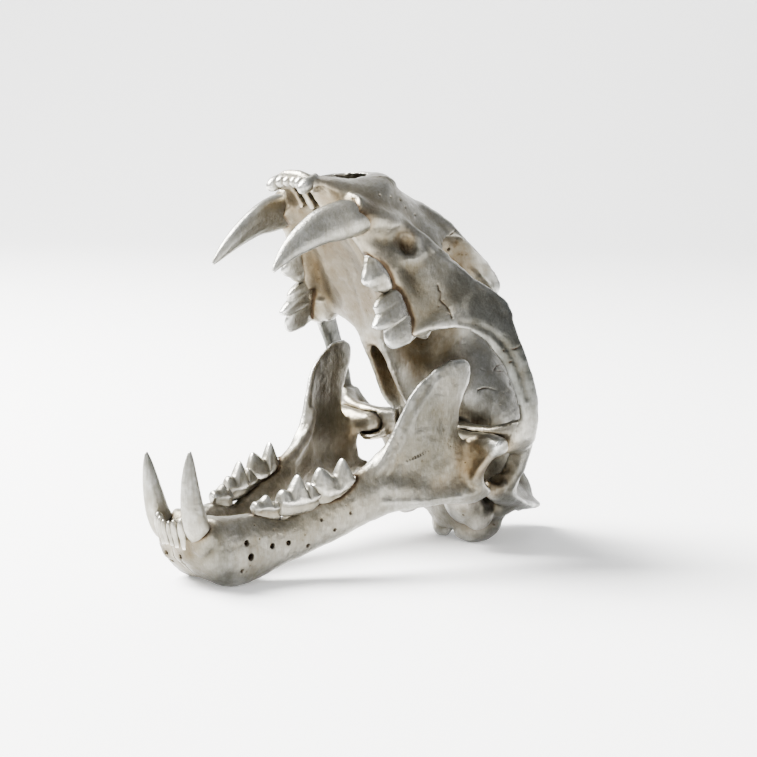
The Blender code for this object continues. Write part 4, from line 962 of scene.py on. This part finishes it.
# fine relief as height, wavelength and seed; a crack's depth and half width, all in mm
finish = {"ripples": [(0.12, 22.0, 3), (0.07, 8.0, 5), (0.035, 3.5, 8)], "crack": (0.45, 0.45)}
dots = [(*point, punch["radius"], punch["depth"])
        for point in np.linspace(punch["from"], punch["to"], punch["count"])]
work = {"cranium": (skullDetail, skullHoles, [], skullCracks, skullAge, skullPaintedShade),
        "jaw": (jawDetail, jawHoles, dots, jawCracks, jawAge, jawPaintedShade)}
bones = {"skull": (skull, "cranium"), "jawLeft": (jawLeft, "jaw"), "jawRight": (jawRight, "jaw")}
for piece, head in bones.values():
    details, holes, nearHoles, cracks, spots, shades = work[head]
    points = pointsOf(piece.data)
    home = homed(points, head)
    relief = sum(high * ripple(home, length, seed) for high, length, seed in finish["ripples"])
    relief += pushed(folded(home), details)
    setPoints(piece.data, points + normalsOf(piece.data) * (relief * 0.001)[:, None])
    thinned(piece, making["tris"][head])

    def close(points):
        home = homed(points, head)
        lone = drilled(home, nearHoles)[1]
        return np.minimum(np.minimum(nearLines(home, cracks), drilled(folded(home), holes)[1]), lone)

    refined(piece, close)
    points = pointsOf(piece.data)
    home = homed(points, head)
    line = nearLines(home, cracks)
    dish, rim = drilled(folded(home), holes)
    lone, loneRim = drilled(home, nearHoles)
    deep, wide = finish["crack"]
    cut = np.minimum(dish, lone) - deep * np.exp(-(line / wide) ** 2)
    points = points + normalsOf(piece.data) * (cut * 0.001)[:, None]
    points[:, 2] = np.maximum(points[:, 2], 0.0)
    setPoints(piece.data, points)
    mark(piece, "cut", np.maximum(1 - smooth(line, 0.12, 0.55),
                                  1 - smooth(np.minimum(rim, loneRim), -0.5, 0.35)))
    age = blobs(folded(home), spots)
    if head == "jaw":
        # the inner faces of the jaw have aged all over
        inward = -normalsOf(piece.data)[:, 0] * np.sign(home[:, 0])
        age = np.maximum(age, 0.25 * smooth(inward, 0.1, 0.6))
    mark(piece, "age", age)
    # grey painted shade by place
    mark(piece, "dim", blobs(folded(home), shades))
    print(piece.name, "worked,", len(piece.data.polygons), "faces")


def evened(values, weights):
    # middle value at 0, the tenth and ninetieth hundredths of the surface one unit apart
    order = np.argsort(values)
    share = np.cumsum(weights[order]) / weights.sum()
    low, middle, high = values[order][np.searchsorted(share, (0.1, 0.5, 0.9))]
    return np.clip((values - middle) / (high - low), -1.5, 1.5)


# hollow: the surface's own bend (how far its neighbours' middle lies outside it) for bones and
# for teeth on their own scale, and how deep it lies among what stands around it
inside = {"base": 0.43, "sunk": 0.6, "mostSunk": 0.6, "bend": 0.28, "rounds": 16, "reach": 9.0, "cell": 3.0}
everything = [piece for piece, head in bones.values()] + list(pieces.values())
allPoints = np.concatenate([pointsOf(p.data) for p in everything]) * 1000.0
allShares = np.concatenate([shares(p.data) for p in everything])
outward = np.concatenate([normalsOf(p.data) for p in everything])
low, shape, mass, middle = crowding(allPoints, allShares, inside["reach"], inside["cell"])
bends = []
for piece in everything:
    points, edges = pointsOf(piece.data) * 1000.0, edgesOf(piece.data)
    around = points
    for step in range(inside["rounds"]):
        around = spread(around, edges)
    bends.append(((around - points) * normalsOf(piece.data)).sum(axis=1))
bend = np.concatenate(bends)
ends = np.cumsum([len(p.data.vertices) for p in everything])
isBone = np.arange(len(allPoints)) < ends[len(bones) - 1]
near = np.stack([sampled(allPoints, m, low, shape, inside["cell"]) for m in middle], axis=1)
sunk = np.clip(((near - allPoints) * outward).sum(axis=1) / inside["reach"], 0.0, inside["mostSunk"])
# painted shade: the deeper a point lies among what stands around it, the darker the silver is made, partly
# patina and partly shade; convex bends come out lighter, partly polish and partly painted highlight
hollow = inside["base"] + inside["sunk"] * sunk
for these in (isBone, ~isBone):
    hollow[these] += inside["bend"] * evened(bend[these], allShares[these])
# painted shade: how much surface crowds around each point; the silver is darkened and warmed by it in
# enclosed places, tinted like patina
full = sampled(allPoints, mass, low, shape, inside["cell"])
for piece, start, end in zip(everything, [0, *ends[:-1]], ends):
    mark(piece, "hollow", hollow[start:end])
    mark(piece, "full", full[start:end])
print("hollows measured")

# distance of each bone's points to what stands in its gum
for piece, head in bones.values():
    home = homed(pointsOf(piece.data), head)
    if head == "cranium":
        paths = gumPaths(upperCanine["rows"], upperCheekTeeth, upperGums)
    else:
        rows = lowerCanine["rows"]
        paths = gumPaths(leaning(rows, rightLean) if piece is jawRight else rows, lowerCheekTeeth, lowerGums)
    distance = np.full(len(home), 9.0)
    for path in paths:
        distance = np.minimum(distance, reach(folded(home), path))
    mark(piece, "gum", distance)


def fed(tree, node, feeds):
    # fills a node's inputs: a socket is linked, anything else becomes the input's own value
    for name, value in feeds.items():
        if isinstance(value, bpy.types.NodeSocket):
            tree.links.new(value, node.inputs[name])
        else:
            node.inputs[name].default_value = value


def nodeOf(tree, kind, feeds, **settings):
    # shader node with its settings made and its inputs filled
    made = tree.nodes.new("ShaderNode" + kind)
    made.location = (180.0 * len(tree.nodes), -150.0 * (len(tree.nodes) % 4))
    for name, value in settings.items():
        setattr(made, name, value)
    fed(tree, made, feeds)
    return made


def mathOf(tree, operation, *values):
    return nodeOf(tree, "Math", dict(enumerate(values)), operation=operation).outputs["Value"]


def rangeOf(tree, value, low, high, first=0.0, last=1.0):
    feeds = {"Value": value, "From Min": low, "From Max": high, "To Min": first, "To Max": last}
    return nodeOf(tree, "MapRange", feeds).outputs["Result"]


def noiseOf(tree, where, scale, detail, roughness):
    feeds = {"Vector": where, "Scale": scale, "Detail": detail, "Roughness": roughness}
    return nodeOf(tree, "TexNoise", feeds).outputs["Fac"]


def mixOf(tree, share, colour, other, blend="MULTIPLY"):
    feeds = {"Factor": share, "A": colour, "B": (*other, 1.0)}
    return nodeOf(tree, "Mix", feeds, data_type="RGBA", blend_type=blend).outputs["Result"]


def rampOf(tree, value, stops):
    # colour ramp of stops, each a position and a colour
    made = nodeOf(tree, "ValToRGB", {"Fac": value})
    elements = made.color_ramp.elements
    while len(elements) > 1:
        elements.remove(elements[-1])
    elements[0].position = stops[0][0]
    for position, colour in stops[1:]:
        elements.new(position)
    for element, (position, colour) in zip(elements, stops):
        element.color = (*colour, 1.0)
    return made.outputs["Color"]


def groupOf(name, inputs, outputs):
    # node group with named inputs, which have values to start from, and outputs
    tree = bpy.data.node_groups.new(name, "ShaderNodeTree")
    for label, value in inputs.items():
        made = tree.interface.new_socket(name=label, in_out="INPUT", socket_type="NodeSocketFloat")
        made.default_value = value
    for label, kind in outputs.items():
        tree.interface.new_socket(name=label, in_out="OUTPUT", socket_type="NodeSocket" + kind)
    return tree, tree.nodes.new("NodeGroupInput").outputs, tree.nodes.new("NodeGroupOutput")


def castGroup():
    # relief of the casting: soft orange peel, fine grain, brush streaks and scattered pits, all in
    # the piece's own coordinates
    tree, given, end = groupOf("castRelief", {"Grain": 1.0, "Pits": 1.0},
                               {"Height": "Float", "Cloud": "Float", "Pit": "Float", "Mottle": "Float"})
    where = nodeOf(tree, "TexCoord", {}).outputs["Object"]
    drawn = nodeOf(tree, "Mapping", {"Vector": where, "Scale": (1.0, 0.5, 0.09)}).outputs["Vector"]
    peel = noiseOf(tree, where, 420.0, 3.0, 0.55)
    grain = noiseOf(tree, where, 2200.0, 2.0, 0.6)
    cloud = noiseOf(tree, where, 70.0, 5.0, 0.62)
    mottle = noiseOf(tree, where, 260.0, 4.0, 0.6)
    brush = noiseOf(tree, drawn, 1500.0, 3.0, 0.6)
    cells = nodeOf(tree, "TexVoronoi", {"Vector": where, "Scale": 330.0, "Randomness": 1.0})
    hole = rangeOf(tree, cells.outputs["Distance"], 0.05, 0.2, 1.0, 0.0)
    pit = mathOf(tree, "MULTIPLY", hole, rangeOf(tree, cloud, 0.52, 0.66))
    grained = mathOf(tree, "MULTIPLY", grain, given["Grain"])
    raised = mathOf(tree, "MULTIPLY_ADD", grained, 0.35, peel)
    brushed = mathOf(tree, "MULTIPLY_ADD", brush, 0.5, raised)
    deeper = mathOf(tree, "MULTIPLY", pit, given["Pits"])
    fed(tree, end, {"Height": mathOf(tree, "SUBTRACT", brushed, deeper), "Cloud": cloud, "Pit": pit,
                    "Mottle": mathOf(tree, "MULTIPLY_ADD", brush, 0.7, mottle)})
    return tree


def patinaAndShadeGroup():
    # colour of the silver: bright on ridges, partly polish and partly painted highlight; grey on the open
    # faces; darker where the surface lies sunk or crowded, partly patina and partly painted shade; champagne
    # to brown where it has aged; grey painted shade by place; brown black in cuts, and in the deepest
    # hollows as painted shade
    tree, given, end = groupOf(
        "patinaAndShade", {"Hollow": 0.0, "WarmShade": 0.0, "Age": 0.0, "PaintedShade": 0.0, "Cut": 0.0, "Cloud": 0.5,
                   "Mottle": 0.85}, {"Color": "Color", "Roughness": "Float"})
    sway = mathOf(tree, "MULTIPLY_ADD", given["Cloud"], 0.7, given["Hollow"])
    fleck = mathOf(tree, "MULTIPLY_ADD", given["Mottle"], 0.5, sway)
    depth = mathOf(tree, "SUBTRACT", fleck, 0.77)
    tone = rampOf(tree, depth, [(0.0, (0.64, 0.64, 0.62)), (0.18, (0.34, 0.34, 0.32)),
                                (0.45, (0.215, 0.21, 0.185)), (0.70, (0.175, 0.16, 0.125)),
                                (0.88, (0.10, 0.08, 0.053)), (1.0, (0.03, 0.02, 0.013))])
    # painted shade where the surface is crowded, tinted warm like patina
    warmShade = mixOf(tree, given["WarmShade"], tone, (0.92, 0.85, 0.73))
    # grey painted shade by place
    grey = mixOf(tree, given["PaintedShade"], warmShade, (0.30, 0.31, 0.31))
    old = mathOf(tree, "MULTIPLY", given["Age"], rangeOf(tree, given["Cloud"], 0.3, 0.62, 0.55))
    brown = mixOf(tree, old, grey, (0.66, 0.51, 0.34))
    inked = mixOf(tree, given["Cut"], brown, (0.035, 0.022, 0.012), "MIX")
    fed(tree, end, {"Color": inked, "Roughness": rangeOf(tree, depth, 0.0, 1.0, 0.26, 0.55)})
    return tree


castRelief, patinaAndShade = castGroup(), patinaAndShadeGroup()


def silverOf(name, grain, pits, warmShade, lift, worked):
    # hollow = how the surface bends and how deep it lies, plus its pits, and darkens the silver partly as
    # patina and partly as painted shade; worked ones also have gum lines, cuts, patina by place and grey
    # painted shade by place
    made = bpy.data.materials.new(name)
    made.use_nodes = True
    tree = made.node_tree

    def marked(label):
        return nodeOf(tree, "Attribute", {}, attribute_name=label).outputs["Fac"]

    relief = nodeOf(tree, "Group", {}, node_tree=castRelief)
    fed(tree, relief, {"Grain": grain, "Pits": pits})
    relief = relief.outputs
    wide = mathOf(tree, "ADD", marked("hollow"), lift)
    # painted shade: the crowding of the surface darkens and warms the silver, tinted like patina
    feeds = {"Hollow": mathOf(tree, "MULTIPLY_ADD", relief["Pit"], 0.35 * pits, wide),
             "WarmShade": rangeOf(tree, marked("full"), 0.9, 2.2, 0.0, warmShade),
             "Cloud": relief["Cloud"], "Mottle": relief["Mottle"]}
    if worked:
        rim = marked("gum")
        feeds["Cut"] = mathOf(tree, "MAXIMUM", rangeOf(tree, rim, 0.35, 1.1, 0.95, 0.0), marked("cut"))
        feeds["Age"] = mathOf(tree, "MAXIMUM", rangeOf(tree, rim, 0.8, 2.2, 0.75, 0.0), marked("age"))
        # grey painted shade by place
        feeds["PaintedShade"] = marked("dim")
    colour = nodeOf(tree, "Group", feeds, node_tree=patinaAndShade).outputs
    bump = nodeOf(tree, "Bump", {"Strength": 0.6, "Distance": 0.0004, "Height": relief["Height"]})
    fed(tree, tree.nodes["Principled BSDF"], {
        "Metallic": 1.0, "Base Color": colour["Color"], "Roughness": colour["Roughness"],
        "Normal": bump.outputs["Normal"]})
    return made


silverBone = silverOf("silverBone", 1.0, 1.0, 1.0, 0.0, True)
silverTooth = silverOf("silverTooth", 0.5, 0.4, 0.6, -0.08, False)
print("materials made")

for piece, head in bones.values():
    piece.data.materials.clear()
    piece.data.materials.append(silverBone)
    piece.data.shade_smooth()
    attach(piece, "root")
for piece in pieces.values():
    piece.data.materials.append(silverTooth)
    piece.data.shade_smooth()
    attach(piece, "root")
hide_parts("rostrum", "braincase", "zygomatic_arch_left", "zygomatic_arch_right")
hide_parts("mandible_left")
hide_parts("mandible_right")

# pale floor that rises behind the skull in one curve
studio = {"width": 6.0, "front": -7.0, "bend": 1.9, "radius": 1.0, "height": 2.6}
t = np.linspace(0.0, np.pi / 2, 24)
profile = [(studio["front"], 0.0)] + [
    (studio["bend"] + studio["radius"] * math.sin(a), studio["radius"] * (1 - math.cos(a))) for a in t]
profile.append((studio["bend"] + studio["radius"], studio["height"]))
profile = np.array(profile)
turn = math.radians(view["azimuth"])
points = []
for x in (-studio["width"], studio["width"]):
    along = profile[:, 0]
    points.append(np.stack([x * math.cos(turn) - along * math.sin(turn),
                            x * math.sin(turn) + along * math.cos(turn), profile[:, 1]], axis=1))
count = len(profile)
faces = [(i, i + count, i + count + 1, i + 1) for i in range(count - 1)]
floor = objectOf(np.concatenate(points), faces, "floor")
floor.data.shade_smooth()
paper = bpy.data.materials.new("paper")
paper.use_nodes = True
fed(paper.node_tree, paper.node_tree.nodes["Principled BSDF"], {
    "Base Color": (0.94, 0.94, 0.94, 1.0), "Roughness": 0.9,
    "Emission Color": (1.0, 1.0, 1.0, 1.0), "Emission Strength": 0.25})
floor.data.materials.append(paper)

# room light: bright in front, dim overhead and behind
world = bpy.data.worlds.new("studio")
bpy.context.scene.world = world
world.use_nodes = True
tree = world.node_tree
where = nodeOf(tree, "TexCoord", {}).outputs["Generated"]
lean = nodeOf(tree, "VectorMath", {0: where, 1: (0.30, -0.88, 0.36)}, operation="DOT_PRODUCT")
tone = rampOf(tree, rangeOf(tree, lean.outputs["Value"], -1.0, 1.0), [
    (0.0, (0.55, 0.56, 0.58)), (0.45, (0.50, 0.51, 0.53)), (0.62, (0.66, 0.67, 0.69)),
    (0.8, (0.88, 0.90, 0.92))])
fed(tree, tree.nodes["Background"], {"Color": tone, "Strength": 1.05})
lamps = {
    "key": {"at": (-1.07, -0.8, 1.5), "size": 1.2, "power": 400.0, "tint": (1.0, 0.99, 0.97)},
    "fill": {"at": (1.6, -1.2, 0.9), "size": 1.2, "power": 12.0, "tint": (1.0, 0.98, 0.95)},
}
for name, lamp in lamps.items():
    light = bpy.data.lights.new(name, "AREA")
    light.size = lamp["size"]
    light.energy = lamp["power"]
    light.color = lamp["tint"]
    holder = bpy.data.objects.new(name, light)
    bpy.context.scene.collection.objects.link(holder)
    holder.location = lamp["at"]
    aim = Vector((0.0, 0.0, 0.09)) - Vector(lamp["at"])
    holder.rotation_euler = aim.to_track_quat("-Z", "Y").to_euler()
print("studio lit")
